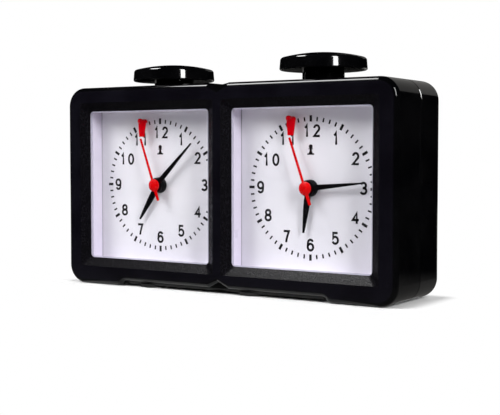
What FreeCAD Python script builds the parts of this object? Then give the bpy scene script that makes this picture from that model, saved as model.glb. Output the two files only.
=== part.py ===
import FreeCAD, Part

import math
import os

from FreeCAD import Vector

# Two-dial analogue chess clock, standing on the moulded feet of its case.
# Millimetres. Origin: centre of the footprint, on the table. X runs to the right as the
# players see the dials, Y from the dials to the back, Z up. Clock angles run clockwise
# from twelve as seen from the front, which is the positive sense about +Y.

# ---- case: outer form ----
OPENING_WIDTH = 63.2        # clear window in each frame
OPENING_HEIGHT = 63.8
BEVEL = 3.7                 # width of the sloped border round each window
BEVEL_DEPTH = 2.4
SIDE_RIM = 7.3              # flat rim outside the bevels
CENTRE_RIM = 3.8            # flat rim between the two windows
TOP_RIM = 6.6
BOTTOM_RIM = 5.6
FRAME_LIFT = 2.2            # underside of the frames above the table
BELLY_LIFT = 0.9            # underside of the case above the table
FOOT_WIDTH = 27.8           # length of each moulded foot, from the side of the case
FOOT_STEP = 4.0             # length of the curved step up from a foot
FRONT_DEPTH = 21.2          # front casing, rim to seam
REAR_DEPTH = 18.8
CASE_CORNER = 8.0
FRONT_ROUND = 2.5           # rounding of the frame edges
BACK_ROUND = 3.0
BELLY_ROUND = 1.2
NOTCH_HALF = 4.8            # V between the two frames, half width and depth
NOTCH_DEPTH = 2.3
GROOVE_DEPTH = 0.9          # shallow V that carries on along the case
SEAM_CHAMFER = 0.35
WALL = 2.2
LIP = 0.3                   # straight edge behind the bevel
OPENING_CORNER = 1.7
RIM_CORNER = 2.4            # corner of the bevel at the front face

# ---- fits ----
LOCATING_GAP = 0.15         # between fixed mouldings
RUNNING_GAP = 0.06          # radial, arbor in bearing
SLIDE_GAP = 0.30            # round a moving moulding
SCREW_GAP = 0.02

# ---- window stack ----
LENS_FLANGE = 1.0
LENS_OVERLAP = 1.9          # lens held behind the lip
LENS_CHAMFER = 0.35
SURROUND_MARGIN = 1.15      # inner wall of the tray outside the window edge
SURROUND_WALL = 1.05
DIAL_RECESS = 11.5          # dial face behind the front rim
DIAL_THICK = 1.0
DIAL_MARGIN = 2.9           # dial ring inside the window edge
RIB = 1.2

# ---- movement ----
MOVEMENT_SIZE = 50.0
MOVEMENT_DEPTH = 16.0
MOVEMENT_WALL = 1.2
MOVEMENT_CORNER = 2.5
SHELL_DEPTH = 5.8           # front shell, dial to middle plate's back
PLATE_THICK = 1.2
LEDGE = 0.8
BUSH_RADIUS = 2.6
BUSH_HEIGHT = 1.3           # bush in front of the dial face
NUT_ACROSS = 3.4            # radius of the round nut
NUT_HEIGHT = 1.1

# ---- arbors and tubes ----
SECOND_SHAFT = 0.40
FINE_ARBOR = 0.35
CANNON_RADIUS = 1.0
HOUR_TUBE_RADIUS = 1.6
SETTING_ARBOR = 0.8
SETTING_PIVOT = 0.5

# ---- hands and flag, distances in front of the dial face ----
HOUR_PLANE = 1.7
MINUTE_PLANE = 2.9
SECOND_PLANE = 4.6
HAND_THICK = 0.5
SECOND_THICK = 0.4
HOUR_LENGTH_SHORT = 10.9    # tip inside the dial ring
MINUTE_LENGTH_SHORT = 3.2
SECOND_LENGTH_SHORT = 7.6
SECOND_TAIL = 6.9
HAND_HUB = 3.3
CAP_RADIUS = 2.65
CAP_HEIGHT = 0.85
LEFT_TIME = {"hour": 213.5, "minute": 45.8, "second": 340.4}
RIGHT_TIME = {"hour": 187.4, "minute": 84.4, "second": 340.4}
FLAG_PIVOT_X = -7.9         # from the dial centre
FLAG_PIVOT_DROP = 4.4       # below the top edge of the window
FLAG_LENGTH = 7.0
FLAG_TOP = 4.2
FLAG_TIP = 2.6
FLAG_THICK = 0.5
FLAG_PLANE = 3.75
PIN_RADIUS = 0.6
PIN_HEAD = 1.15

# ---- buttons and rocker ----
STEM_CLEAR = 0.65           # stem behind the dial plate
DISC_RADIUS = 17.65
DISC_DRAFT = 0.4
DISC_SIDE = 4.8
DISC_DOME = 2.2
DISC_EDGE = 0.6
SHOULDER_ROUND = 1.3
STEM_RADIUS = 8.45
STEM_WALL = 1.85
BUTTON_TRAVEL = 2.0
PRESSED_GAP = 2.65          # disc above the case when pressed
COLLAR_STEP = 1.15          # retaining collar proud of the stem
COLLAR_HEIGHT = 1.6
GUIDE_STEP = 1.85           # raised ring round each stem
GUIDE_HEIGHT = 0.5
ROCKER_HEIGHT = 74.0        # pivot above the table
ROCKER_DEPTH = 6.0
ROCKER_HUB = 4.0
ROCKER_PAD = 2.0
ROCKER_PIN = 1.55
CONTACT_GAP = 0.05
BOSS_RADIUS = 3.0

# ---- battery, door and rear ----
BATTERY_RADIUS = 7.1
BATTERY_LENGTH = 49.5
NUB_RADIUS = 2.7
NUB_HEIGHT = 1.0
BAY_FLOOR = 7.0             # inside bottom of the bay above the table
BATTERY_GAP = 0.5
BAY_WALL = 1.2
BATTERY_SEAT = 2.3          # battery above the bay floor, on its contact
BAY_HEADROOM = 2.2
CONTACT_THICK = 0.4
DOOR_THICK = 2.0
DOOR_MARGIN = 1.9
DOOR_GAP = 1.7              # battery to the inside of the door
HINGE_RADIUS = 1.1
HINGE_PIN = 0.6
KNOB_RADIUS = 7.0
KNOB_LENGTH = 4.0
KNOB_POCKET = 8.8
POCKET_DEPTH = 4.5
POCKET_WALL = 1.5
PAD_RADIUS = 6.5
PAD_SINK = 0.5
PAD_SPOTS = ((-38.0, -11.8), (13.0, -11.8), (38.0, 11.8), (-13.0, 11.8))

# ---- screws ----
CASE_BOSS = 3.6
CASE_SCREW = 1.4
CASE_HEAD = 2.6
CASE_BOSS_INSET = 5.6
CASE_SCREW_SEAT = 5.0       # rear boss left under the screw head
CASE_SCREW_BITE = 6.0
INNER_SCREW = 1.0
INNER_HEAD = 1.9
POST_SPREAD = 20.0          # dial posts either side of the dial centre
SWITCH_REACH = 26.0         # switch contacts from the middle of the clock

# ---- derived places ----
HALF_WIDTH = CENTRE_RIM / 2 + 2 * BEVEL + OPENING_WIDTH + SIDE_RIM
CASE_TOP = FRAME_LIFT + BOTTOM_RIM + 2 * BEVEL + OPENING_HEIGHT + TOP_RIM
DIAL_X = CENTRE_RIM / 2 + BEVEL + OPENING_WIDTH / 2
DIAL_Z = FRAME_LIFT + BOTTOM_RIM + BEVEL + OPENING_HEIGHT / 2
FRONT_Y = -(FRONT_DEPTH + REAR_DEPTH) / 2
SEAM_Y = FRONT_Y + FRONT_DEPTH
BACK_Y = SEAM_Y + REAR_DEPTH
OPENING_Y = FRONT_Y + BEVEL_DEPTH
SEAT_Y = OPENING_Y + LIP
LENS_BACK_Y = SEAT_Y + LENS_FLANGE
DIAL_Y = FRONT_Y + DIAL_RECESS
DIAL_BACK_Y = DIAL_Y + DIAL_THICK
MOVEMENT_BACK_Y = DIAL_BACK_Y + MOVEMENT_DEPTH
PLATE_BACK_Y = DIAL_BACK_Y + SHELL_DEPTH
PLATE_FRONT_Y = PLATE_BACK_Y - PLATE_THICK
GEAR_FRONT_Y = DIAL_BACK_Y + MOVEMENT_WALL
GEAR_BACK_Y = MOVEMENT_BACK_Y - MOVEMENT_WALL
TRAY_HALF_X = OPENING_WIDTH / 2 + SURROUND_MARGIN
TRAY_HALF_Z = OPENING_HEIGHT / 2 + SURROUND_MARGIN
TRAY_OUTER_X = TRAY_HALF_X + SURROUND_WALL
TRAY_OUTER_Z = TRAY_HALF_Z + SURROUND_WALL
DIAL_RADIUS = min(OPENING_WIDTH, OPENING_HEIGHT) / 2 - DIAL_MARGIN
INNER_TOP = CASE_TOP - WALL
INNER_FLOOR = FRAME_LIFT + WALL
INNER_HALF = HALF_WIDTH - WALL
BACK_WALL_Y = BACK_Y - WALL
POST_RADIUS = (DIAL_Z - TRAY_OUTER_Z - INNER_FLOOR) / 2 - LOCATING_GAP
POST_TOP_Z = (DIAL_Z + TRAY_OUTER_Z + INNER_TOP) / 2
POST_LOW_Z = (DIAL_Z - TRAY_OUTER_Z + INNER_FLOOR) / 2
BUTTON_Y = DIAL_BACK_Y + STEM_RADIUS + STEM_CLEAR
STEM_BORE = STEM_RADIUS - STEM_WALL
COLLAR_RADIUS = STEM_RADIUS + COLLAR_STEP
GUIDE_RADIUS = STEM_RADIUS + GUIDE_STEP
ROCK_ANGLE = math.degrees(BUTTON_TRAVEL / 2 / DIAL_X)
DISC_PRESSED = CASE_TOP + PRESSED_GAP
BAY_HALF = BATTERY_RADIUS + BATTERY_GAP
BATTERY_Y = BACK_Y - DOOR_THICK - BATTERY_RADIUS - DOOR_GAP
BATTERY_LOW = BAY_FLOOR + BATTERY_SEAT
BAY_TOP = BATTERY_LOW + BATTERY_LENGTH + NUB_HEIGHT + BAY_HEADROOM
BAY_FRONT_Y = BATTERY_Y - BAY_HALF
HINGE_Y = BACK_Y - HINGE_RADIUS
HINGE_Z = BAY_FLOOR - HINGE_RADIUS
POCKET_FLOOR_Y = BACK_Y - POCKET_DEPTH

# ---- gear train: teeth and modules; distances follow ----
MOTION_MODULE_A = 0.52      # cannon pinion and minute wheel
CANNON_TEETH = 12
MINUTE_TEETH = 36
MINUTE_PINION = 10
HOUR_TEETH = 40
SETTING_DISTANCE = MOTION_MODULE_A * (CANNON_TEETH + MINUTE_TEETH) / 2
MOTION_MODULE_B = 2 * SETTING_DISTANCE / (MINUTE_PINION + HOUR_TEETH)
CENTRE_MODULE = 0.30        # third pinion and centre wheel
CENTRE_TEETH = 64
THIRD_PINION = 8
THIRD_TEETH = 60
SECOND_PINION = 8
THIRD_DISTANCE = CENTRE_MODULE * (CENTRE_TEETH + THIRD_PINION) / 2
THIRD_MODULE = 2 * THIRD_DISTANCE / (THIRD_TEETH + SECOND_PINION)
FAST_MODULE = 0.40          # intermediate pinion and second wheel
SECOND_TEETH = 48
FAST_PINION = 8
FAST_DISTANCE = FAST_MODULE * (SECOND_TEETH + FAST_PINION) / 2
ROTOR_MODULE = 0.30         # rotor pinion and intermediate wheel
FAST_TEETH = 30
ROTOR_PINION = 6
ROTOR_DISTANCE = ROTOR_MODULE * (FAST_TEETH + ROTOR_PINION) / 2
THIRD_ANGLE = 180.0         # directions from the dial centre, anticlockwise from +X
FAST_ANGLE = 30.0
ROTOR_ANGLE = -60.0         # from the intermediate arbor
SETTING_ANGLE = -90.0
MAGNET_RADIUS = 2.6
STATOR_HOLE = 3.0
STATOR_THICK = 0.8
STATOR_LEVEL = 5.7          # middle of the stator ahead of the back of the gear space
COIL_X = 19.6
COIL_RADIUS = 3.2
COIL_LENGTH = 26.0


# ---- shape helpers ----
def box(x0, x1, y0, y1, z0, z1):
    return Part.makeBox(x1 - x0, y1 - y0, z1 - z0, Vector(x0, y0, z0))


def rod_y(x, z, radius, y0, y1):
    return Part.makeCylinder(radius, y1 - y0, Vector(x, y0, z), Vector(0, 1, 0))


def rod_z(x, y, radius, z0, z1):
    return Part.makeCylinder(radius, z1 - z0, Vector(x, y, z0), Vector(0, 0, 1))


def rod_x(y, z, radius, x0, x1):
    return Part.makeCylinder(radius, x1 - x0, Vector(x0, y, z), Vector(1, 0, 0))


def tube_y(x, z, outer, inner, y0, y1):
    return rod_y(x, z, outer, y0, y1).cut(rod_y(x, z, inner, y0 - 1, y1 + 1))


def prism_y(points, y0, y1):
    corners = [Vector(x, y0, z) for x, z in points]
    wire = Part.makePolygon(corners + [corners[0]])
    return Part.Face(wire).extrude(Vector(0, y1 - y0, 0))


def prism_x(points, x0, x1):
    corners = [Vector(x0, y, z) for y, z in points]
    wire = Part.makePolygon(corners + [corners[0]])
    return Part.Face(wire).extrude(Vector(x1 - x0, 0, 0))


def rounded_wire(cx, cz, half_x, half_z, radius, y):
    """Rounded rectangle in the plane at y."""
    edges = []
    quadrants = ((1, -1, -90), (1, 1, 0), (-1, 1, 90), (-1, -1, 180))
    for index, (sx, sz, start) in enumerate(quadrants):
        ox = cx + sx * (half_x - radius)
        oz = cz + sz * (half_z - radius)
        spots = []
        for angle in (start, start + 45, start + 90):
            turn = math.radians(angle)
            spots.append(Vector(ox + radius * math.cos(turn), y, oz + radius * math.sin(turn)))
        edges.append(Part.Arc(*spots).toShape())
        next_x, next_z, next_start = quadrants[(index + 1) % 4]
        turn = math.radians(next_start)
        landing = Vector(cx + next_x * (half_x - radius) + radius * math.cos(turn), y,
                         cz + next_z * (half_z - radius) + radius * math.sin(turn))
        edges.append(Part.LineSegment(spots[2], landing).toShape())
    return Part.Wire(edges)


def rounded_block(cx, cz, half_x, half_z, radius, y0, y1):
    face = Part.Face(rounded_wire(cx, cz, half_x, half_z, radius, y0))
    return face.extrude(Vector(0, y1 - y0, 0))


def joined(shapes):
    whole = shapes[0].multiFuse(shapes[1:])
    return whole.removeSplitter()


def around(shape, x, z, clock_angle):
    """Turn a shape clockwise, seen from the front, about the Y axis through x, z."""
    turned = shape.copy()
    turned.rotate(Vector(x, 0, z), Vector(0, 1, 0), clock_angle)
    return turned


def save(name, shape):
    if shape.ShapeType == "Compound" and len(shape.Solids) == 1:
        shape = shape.Solids[0]
    if not shape.isValid() or not shape.Solids:
        raise ValueError("bad solid: " + name)
    shape.exportStep("parts/" + name + ".step")


# ---- gears ----
def gear(x, z, teeth, module, phase, y0, y1):
    """Wheel with straight-sided teeth; one tooth points at the angle phase."""
    pitch = module * teeth / 2
    tip = pitch + 0.80 * module
    root = pitch - 1.15 * module
    step = 2 * math.pi / teeth
    tip_half = 0.10 * step
    root_half = 0.22 * step
    points = []
    for index in range(teeth):
        middle = math.radians(phase) + index * step
        for radius, offset in ((root, -root_half), (tip, -tip_half), (tip, tip_half), (root, root_half)):
            turn = middle + offset
            points.append((x + radius * math.cos(turn), z + radius * math.sin(turn)))
    return prism_y(points, y0, y1)


def meshing_phase(teeth_a, phase_a, direction, teeth_b):
    """Phase of wheel B so that its gap takes A's tooth, B lying along direction from A."""
    pitch_a = 360.0 / teeth_a
    pitch_b = 360.0 / teeth_b
    share = (direction - phase_a) / pitch_a
    return direction + 180.0 - (0.5 - share) * pitch_b


def offset_spot(x, z, distance, angle):
    turn = math.radians(angle)
    return x + distance * math.cos(turn), z + distance * math.sin(turn)


# ---- casings ----
def belly_cut(height, y0, y1):
    """Tool for the recess between the feet, its ends rising in a soft S."""
    inner = HALF_WIDTH - FOOT_WIDTH - FOOT_STEP
    outer = HALF_WIDTH - FOOT_WIDTH
    middle = (inner + outer) / 2
    radius = (FOOT_STEP ** 2 + height ** 2) / (4 * height)
    sweep = math.asin(FOOT_STEP / 2 / radius) / 2
    low = (outer - radius * math.sin(sweep), radius * (1 - math.cos(sweep)))
    high = (inner + radius * math.sin(sweep), height - radius * (1 - math.cos(sweep)))
    edges = []
    for side in (1, -1):
        def spot(x, z):
            return Vector(side * x, y0, z)
        edges.append(Part.Arc(spot(outer, 0), spot(*low), spot(middle, height / 2)).toShape())
        edges.append(Part.Arc(spot(middle, height / 2), spot(*high), spot(inner, height)).toShape())
        edges.append(Part.LineSegment(spot(outer, -1), spot(outer, 0)).toShape())
    edges.append(Part.LineSegment(Vector(inner, y0, height), Vector(-inner, y0, height)).toShape())
    edges.append(Part.LineSegment(Vector(outer, y0, -1), Vector(-outer, y0, -1)).toShape())
    wire = Part.Wire(Part.__sortEdges__(edges))
    return Part.Face(wire).extrude(Vector(0, y1 - y0, 0))


def notch_cut(level, depth, upward, y0, y1):
    """V tool across the middle of the case; upward is 1 for the underside, -1 for the top."""
    apex = level + upward * depth
    outside = level - upward * 5
    points = [(-NOTCH_HALF, level), (0, apex), (NOTCH_HALF, level),
              (NOTCH_HALF, outside), (-NOTCH_HALF, outside)]
    return prism_y(points, y0, y1)


def edges_on_plane(shape, y):
    return [e for e in shape.Edges if all(abs(v.Y - y) < 1e-6 for v in e.Vertexes)]


def edges_at_height(shape, z):
    return [e for e in shape.Edges if max(abs(e.BoundBox.ZMax - z), abs(e.BoundBox.ZMin - z)) < 1e-4]


def outline_slab(y0, y1, lift, top_depth, low_depth):
    """Case outline between two planes, with the recess under it and the V top and bottom."""
    slab = rounded_block(0, CASE_TOP / 2, HALF_WIDTH, CASE_TOP / 2, CASE_CORNER, y0, y1)
    slab = slab.cut(belly_cut(lift, y0 - 1, y1 + 1))
    slab = slab.cut(notch_cut(CASE_TOP, top_depth, -1, y0 - 1, y1 + 1))
    return slab.cut(notch_cut(lift, low_depth, 1, y0 - 1, y1 + 1))


def cavity(y0, y1, gap=0.0):
    middle = (INNER_TOP + INNER_FLOOR) / 2
    half = (INNER_TOP - INNER_FLOOR) / 2
    corner = CASE_CORNER - WALL
    return rounded_block(0, middle, INNER_HALF - gap, half - gap, corner - gap, y0, y1)


def window_cut(x):
    half_x = OPENING_WIDTH / 2
    half_z = OPENING_HEIGHT / 2
    rim = rounded_wire(x, DIAL_Z, half_x + BEVEL, half_z + BEVEL, RIM_CORNER, FRONT_Y)
    edge = rounded_wire(x, DIAL_Z, half_x, half_z, OPENING_CORNER, OPENING_Y)
    slope = Part.makeLoft([rim, edge], True, True)
    straight = rounded_block(x, DIAL_Z, half_x, half_z, OPENING_CORNER, OPENING_Y, SEAT_Y + 1)
    above = rounded_block(x, DIAL_Z, half_x + BEVEL, half_z + BEVEL, RIM_CORNER, FRONT_Y - 1, FRONT_Y)
    return [slope, straight, above]


def case_screw_spots():
    side = HALF_WIDTH - CASE_BOSS_INSET
    levels = (CASE_BOSS_INSET + FRAME_LIFT, CASE_TOP - CASE_BOSS_INSET)
    return [(x, z) for x in (-side, side) for z in levels]


def dial_post_spots(x):
    return [(x + dx, z) for dx in (-POST_SPREAD, POST_SPREAD) for z in (POST_LOW_Z, POST_TOP_Z)]


def stem_hole():
    holes = []
    for x in (-DIAL_X, DIAL_X):
        holes.append(rod_z(x, BUTTON_Y, STEM_RADIUS + SLIDE_GAP, INNER_TOP - 2, CASE_TOP + 3))
    return holes


def guide_rings():
    return [rod_z(x, BUTTON_Y, GUIDE_RADIUS, CASE_TOP - 1, CASE_TOP + GUIDE_HEIGHT)
            for x in (-DIAL_X, DIAL_X)]


def pad_seats():
    return [rod_z(x, y, PAD_RADIUS, -1, BELLY_LIFT + PAD_SINK) for x, y in PAD_SPOTS]


def belly_corner():
    """Tool that rounds the front lower edge of the case between the feet."""
    reach = HALF_WIDTH - FOOT_WIDTH - FOOT_STEP
    top = BELLY_LIFT + BELLY_ROUND
    corner = box(-reach, reach, SEAT_Y - 1, SEAT_Y + BELLY_ROUND, BELLY_LIFT - 1, top)
    return corner.cut(rod_x(SEAT_Y + BELLY_ROUND, top, BELLY_ROUND, -reach, reach))


def make_front_casing():
    frames = outline_slab(FRONT_Y, SEAT_Y, FRAME_LIFT, NOTCH_DEPTH, NOTCH_DEPTH)
    frames = frames.makeFillet(FRONT_ROUND, edges_on_plane(frames, FRONT_Y))
    body = outline_slab(SEAT_Y, SEAM_Y, BELLY_LIFT, GROOVE_DEPTH, GROOVE_DEPTH)
    body = body.cut(belly_corner())
    body = body.makeChamfer(SEAM_CHAMFER, edges_on_plane(body, SEAM_Y))
    above = box(-HALF_WIDTH, HALF_WIDTH, FRONT_Y, SEAM_Y, CASE_TOP - 2, CASE_TOP + 2)
    rings = [ring.common(above) for ring in guide_rings()]
    shell = joined([frames, body] + rings)
    shell = shell.cut(cavity(SEAT_Y, SEAM_Y + 1))
    additions = []
    for x in (-DIAL_X, DIAL_X):
        outer = rounded_block(x, DIAL_Z, TRAY_OUTER_X + LOCATING_GAP + RIB,
                              TRAY_OUTER_Z + LOCATING_GAP + RIB, 1.5, SEAT_Y, SEAT_Y + 4)
        inner = rounded_block(x, DIAL_Z, TRAY_OUTER_X + LOCATING_GAP, TRAY_OUTER_Z + LOCATING_GAP,
                              0.5, SEAT_Y - 1, SEAT_Y + 5)
        additions.append(outer.cut(inner))
        for px, pz in dial_post_spots(x):
            additions.append(rod_y(px, pz, POST_RADIUS, SEAT_Y, DIAL_Y))
            wall_z = CASE_TOP - WALL / 2 if pz > DIAL_Z else FRAME_LIFT + WALL / 2
            additions.append(box(px - 0.6, px + 0.6, SEAT_Y, DIAL_Y - 1, min(pz, wall_z), max(pz, wall_z)))
    for px, pz in case_screw_spots():
        additions.append(rod_y(px, pz, CASE_BOSS, DIAL_BACK_Y + 1, SEAM_Y))
    additions.append(rod_y(0, ROCKER_HEIGHT, BOSS_RADIUS, SEAT_Y, BUTTON_Y - ROCKER_DEPTH / 2 - 0.2))
    shell = joined([shell] + additions)
    tools = stem_hole() + pad_seats()
    for x in (-DIAL_X, DIAL_X):
        tools += window_cut(x)
        for px, pz in dial_post_spots(x):
            tools.append(rod_y(px, pz, INNER_SCREW + SCREW_GAP, DIAL_Y - 5, DIAL_Y + 1))
    for px, pz in case_screw_spots():
        tools.append(rod_y(px, pz, CASE_SCREW + SCREW_GAP, SEAM_Y - CASE_SCREW_BITE - 0.5, SEAM_Y + 1))
    pin_front = BUTTON_Y - ROCKER_DEPTH / 2 - 6
    tools.append(rod_y(0, ROCKER_HEIGHT, ROCKER_PIN + SCREW_GAP, pin_front, SEAM_Y))
    tools.append(bay_block(BAY_WALL + SLIDE_GAP).common(box(-50, 50, -50, SEAM_Y, 0, 200)))
    return shell.cut(tools)


def bay_block(margin):
    """Outer block of the battery bay, grown by a margin."""
    return box(-BAY_HALF - margin, BAY_HALF + margin, BAY_FRONT_Y - margin, BACK_WALL_Y,
               BAY_FLOOR - margin, BAY_TOP + margin)


def make_rear_casing():
    body = outline_slab(SEAM_Y, BACK_Y, BELLY_LIFT, GROOVE_DEPTH, GROOVE_DEPTH)
    body = body.makeFillet(BACK_ROUND, edges_on_plane(body, BACK_Y))
    body = body.makeChamfer(SEAM_CHAMFER, edges_on_plane(body, SEAM_Y))
    behind = box(-HALF_WIDTH, HALF_WIDTH, SEAM_Y, BACK_Y, CASE_TOP - 2, CASE_TOP + 2)
    shell = joined([body] + [ring.common(behind) for ring in guide_rings()])
    shell = shell.cut(cavity(SEAM_Y - 1, BACK_WALL_Y))
    additions = [bay_block(BAY_WALL)]
    frame_half = BAY_HALF + DOOR_MARGIN + 1.2
    additions.append(box(-frame_half, frame_half, BACK_Y - DOOR_THICK - 1.4, BACK_WALL_Y,
                         HINGE_Z - 2.5, BAY_TOP + DOOR_MARGIN + 1.2))
    for px, pz in case_screw_spots():
        additions.append(rod_y(px, pz, CASE_BOSS, SEAM_Y, BACK_WALL_Y))
    for x in (-DIAL_X, DIAL_X):
        knob_x, knob_z = offset_spot(x, DIAL_Z, SETTING_DISTANCE, SETTING_ANGLE)
        additions.append(rod_y(knob_x, knob_z, KNOB_POCKET + POCKET_WALL,
                               POCKET_FLOOR_Y - POCKET_WALL, BACK_WALL_Y))
    rocker_face = BUTTON_Y + ROCKER_DEPTH / 2 + 0.2
    additions.append(rod_y(0, ROCKER_HEIGHT, BOSS_RADIUS, rocker_face, BACK_WALL_Y))
    shell = joined([shell] + additions)
    tools = stem_hole() + pad_seats()
    tools.append(box(-BAY_HALF, BAY_HALF, BAY_FRONT_Y, BACK_Y + 1, BAY_FLOOR, BAY_TOP))
    door_half = BAY_HALF + DOOR_MARGIN
    tools.append(box(-door_half, door_half, BACK_Y - DOOR_THICK, BACK_Y + 1,
                     BAY_FLOOR, BAY_TOP + DOOR_MARGIN))
    tools.append(rod_x(HINGE_Y, HINGE_Z, HINGE_RADIUS + SLIDE_GAP, -door_half, door_half))
    tools.append(box(-door_half, door_half, HINGE_Y, BACK_Y + 1,
                     HINGE_Z - HINGE_RADIUS - SLIDE_GAP, BAY_FLOOR))
    tools.append(box(-door_half, door_half, BACK_Y - DOOR_THICK - 0.3, BACK_Y + 1, HINGE_Z, BAY_FLOOR))
    tools.append(rod_x(HINGE_Y, HINGE_Z, HINGE_PIN + RUNNING_GAP, -door_half - 1.2, door_half + 1.2))
    for x in (-DIAL_X, DIAL_X):
        knob_x, knob_z = offset_spot(x, DIAL_Z, SETTING_DISTANCE, SETTING_ANGLE)
        tools.append(rod_y(knob_x, knob_z, KNOB_POCKET, POCKET_FLOOR_Y, BACK_Y + 1))
        tools.append(rod_y(knob_x, knob_z, SETTING_ARBOR + RUNNING_GAP,
                           POCKET_FLOOR_Y - POCKET_WALL - 1, POCKET_FLOOR_Y + 1))
    for px, pz in case_screw_spots():
        tools.append(rod_y(px, pz, CASE_SCREW + SCREW_GAP, SEAM_Y - 1, BACK_Y))
        tools.append(rod_y(px, pz, CASE_HEAD + 0.3, SEAM_Y + CASE_SCREW_SEAT, BACK_Y + 1))
    tools.append(rod_y(0, ROCKER_HEIGHT, ROCKER_PIN + SCREW_GAP, 0, rocker_face + 6))
    return shell.cut(tools)


def make_battery_door():
    half = BAY_HALF + DOOR_MARGIN - LOCATING_GAP
    top = BAY_TOP + DOOR_MARGIN - LOCATING_GAP
    low = BAY_FLOOR + 0.1
    inner_y = BACK_Y - DOOR_THICK
    plate = box(-half, half, inner_y, BACK_Y, low, top)
    knuckle = rod_x(HINGE_Y, HINGE_Z, HINGE_RADIUS, -half, half)
    neck = box(-half, half, HINGE_Y - 0.8, HINGE_Y + 0.8, HINGE_Z, low + 0.2)
    pins = rod_x(HINGE_Y, HINGE_Z, HINGE_PIN, -half - 1.1, half + 1.1)
    tongue = box(-4, 4, inner_y - 1.0, inner_y + 0.1, BAY_TOP - 2.6, BAY_TOP - 1.6)
    door = joined([plate, knuckle, neck, pins, tongue])
    cuts = [rod_x(BACK_Y + 4.3, top - 4.5, 5.0, -5.0, 5.0)]
    for level in range(4):
        groove_z = top - 14.0 - 2.2 * level
        cuts.append(box(-6.0, 6.0, BACK_Y - 0.4, BACK_Y + 1, groove_z, groove_z + 1.0))
    return door.cut(cuts)


def make_case_screws():
    screws = []
    head_y = SEAM_Y + CASE_SCREW_SEAT
    for px, pz in case_screw_spots():
        shank = rod_y(px, pz, CASE_SCREW, SEAM_Y - CASE_SCREW_BITE, head_y)
        head = rod_y(px, pz, CASE_HEAD, head_y, head_y + 1.8)
        slots = [box(px - 1.6, px + 1.6, head_y + 0.8, head_y + 3, pz - 0.3, pz + 0.3),
                 box(px - 0.3, px + 0.3, head_y + 0.8, head_y + 3, pz - 1.6, pz + 1.6)]
        screws.append(joined([shank, head]).cut(slots))
    return Part.makeCompound(screws)


def make_foot_pads():
    pads = []
    for x, y in PAD_SPOTS:
        pad = rod_z(x, y, PAD_RADIUS - LOCATING_GAP, 0, BELLY_LIFT + PAD_SINK)
        lower = [e for e in pad.Edges if e.BoundBox.ZMax < 1e-6]
        pads.append(pad.makeChamfer(0.3, lower))
    return Part.makeCompound(pads)


# ---- window stack ----
def make_lens(x):
    flange = rounded_block(x, DIAL_Z, OPENING_WIDTH / 2 + LENS_OVERLAP, OPENING_HEIGHT / 2 + LENS_OVERLAP,
                           1.5, SEAT_Y, LENS_BACK_Y)
    half_x = OPENING_WIDTH / 2 - LOCATING_GAP / 2
    half_z = OPENING_HEIGHT / 2 - LOCATING_GAP / 2
    face_y = OPENING_Y + 0.1
    raised = rounded_block(x, DIAL_Z, half_x, half_z, OPENING_CORNER - LOCATING_GAP, face_y, SEAT_Y + 0.2)
    raised = raised.makeChamfer(LENS_CHAMFER, edges_on_plane(raised, face_y))
    return joined([flange, raised])


def make_dial_surround(x):
    outer = rounded_block(x, DIAL_Z, TRAY_OUTER_X, TRAY_OUTER_Z, 1.4, LENS_BACK_Y, DIAL_Y)
    inner = rounded_block(x, DIAL_Z, TRAY_HALF_X, TRAY_HALF_Z, 0.5, LENS_BACK_Y - 1, DIAL_Y + 1)
    return outer.cut(inner)


def make_dial_plate(x):
    plate = rounded_block(x, DIAL_Z, TRAY_OUTER_X, TRAY_OUTER_Z, 1.4, DIAL_Y, DIAL_BACK_Y)
    ears = [rod_y(px, pz, POST_RADIUS, DIAL_Y, DIAL_BACK_Y) for px, pz in dial_post_spots(x)]
    necks = []
    for px, pz in dial_post_spots(x):
        edge_z = DIAL_Z + math.copysign(TRAY_OUTER_Z - 0.5, pz - DIAL_Z)
        necks.append(box(px - POST_RADIUS, px + POST_RADIUS, DIAL_Y, DIAL_BACK_Y,
                         min(pz, edge_z), max(pz, edge_z)))
    holes = [rod_y(x, DIAL_Z, BUSH_RADIUS + SCREW_GAP, DIAL_Y - 1, DIAL_BACK_Y + 1)]
    for px, pz in dial_post_spots(x):
        holes.append(rod_y(px, pz, INNER_SCREW + SCREW_GAP, DIAL_Y - 1, DIAL_BACK_Y + 1))
    pin_x, pin_z = flag_pivot(x)
    holes.append(rod_y(pin_x, pin_z, PIN_RADIUS, DIAL_Y - 1, DIAL_BACK_Y + 1))
    return joined([plate] + ears + necks).cut(holes)


def make_inner_screws():
    screws = []
    for x in (-DIAL_X, DIAL_X):
        for px, pz in dial_post_spots(x):
            shank = rod_y(px, pz, INNER_SCREW, DIAL_Y - 4.5, DIAL_BACK_Y)
            head = rod_y(px, pz, INNER_HEAD, DIAL_BACK_Y, DIAL_BACK_Y + 1.2)
            slot = box(px - 1.2, px + 1.2, DIAL_BACK_Y + 0.7, DIAL_BACK_Y + 2, pz - 0.25, pz + 0.25)
            screws.append(joined([shank, head]).cut(slot))
    return Part.makeCompound(screws)


def make_dial_nuts():
    nuts = []
    for x in (-DIAL_X, DIAL_X):
        face_y = DIAL_Y - NUT_HEIGHT
        nut = tube_y(x, DIAL_Z, NUT_ACROSS, BUSH_RADIUS + SCREW_GAP, face_y, DIAL_Y)
        slot = box(x - 4, x + 4, face_y - 1, face_y + 0.4, DIAL_Z - 0.4, DIAL_Z + 0.4)
        nuts.append(nut.cut(slot))
    return Part.makeCompound(nuts)


# ---- hands and flags ----
def hand_blade(x, profile, y0, y1, angle):
    """Blade drawn pointing at twelve, then turned to its clock angle."""
    points = [(x + across, DIAL_Z + along) for across, along in profile]
    return around(prism_y(points, y0, y1), x, DIAL_Z, angle)


def mirrored_profile(half):
    return half + [(-across, along) for across, along in reversed(half) if across > 0]


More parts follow.
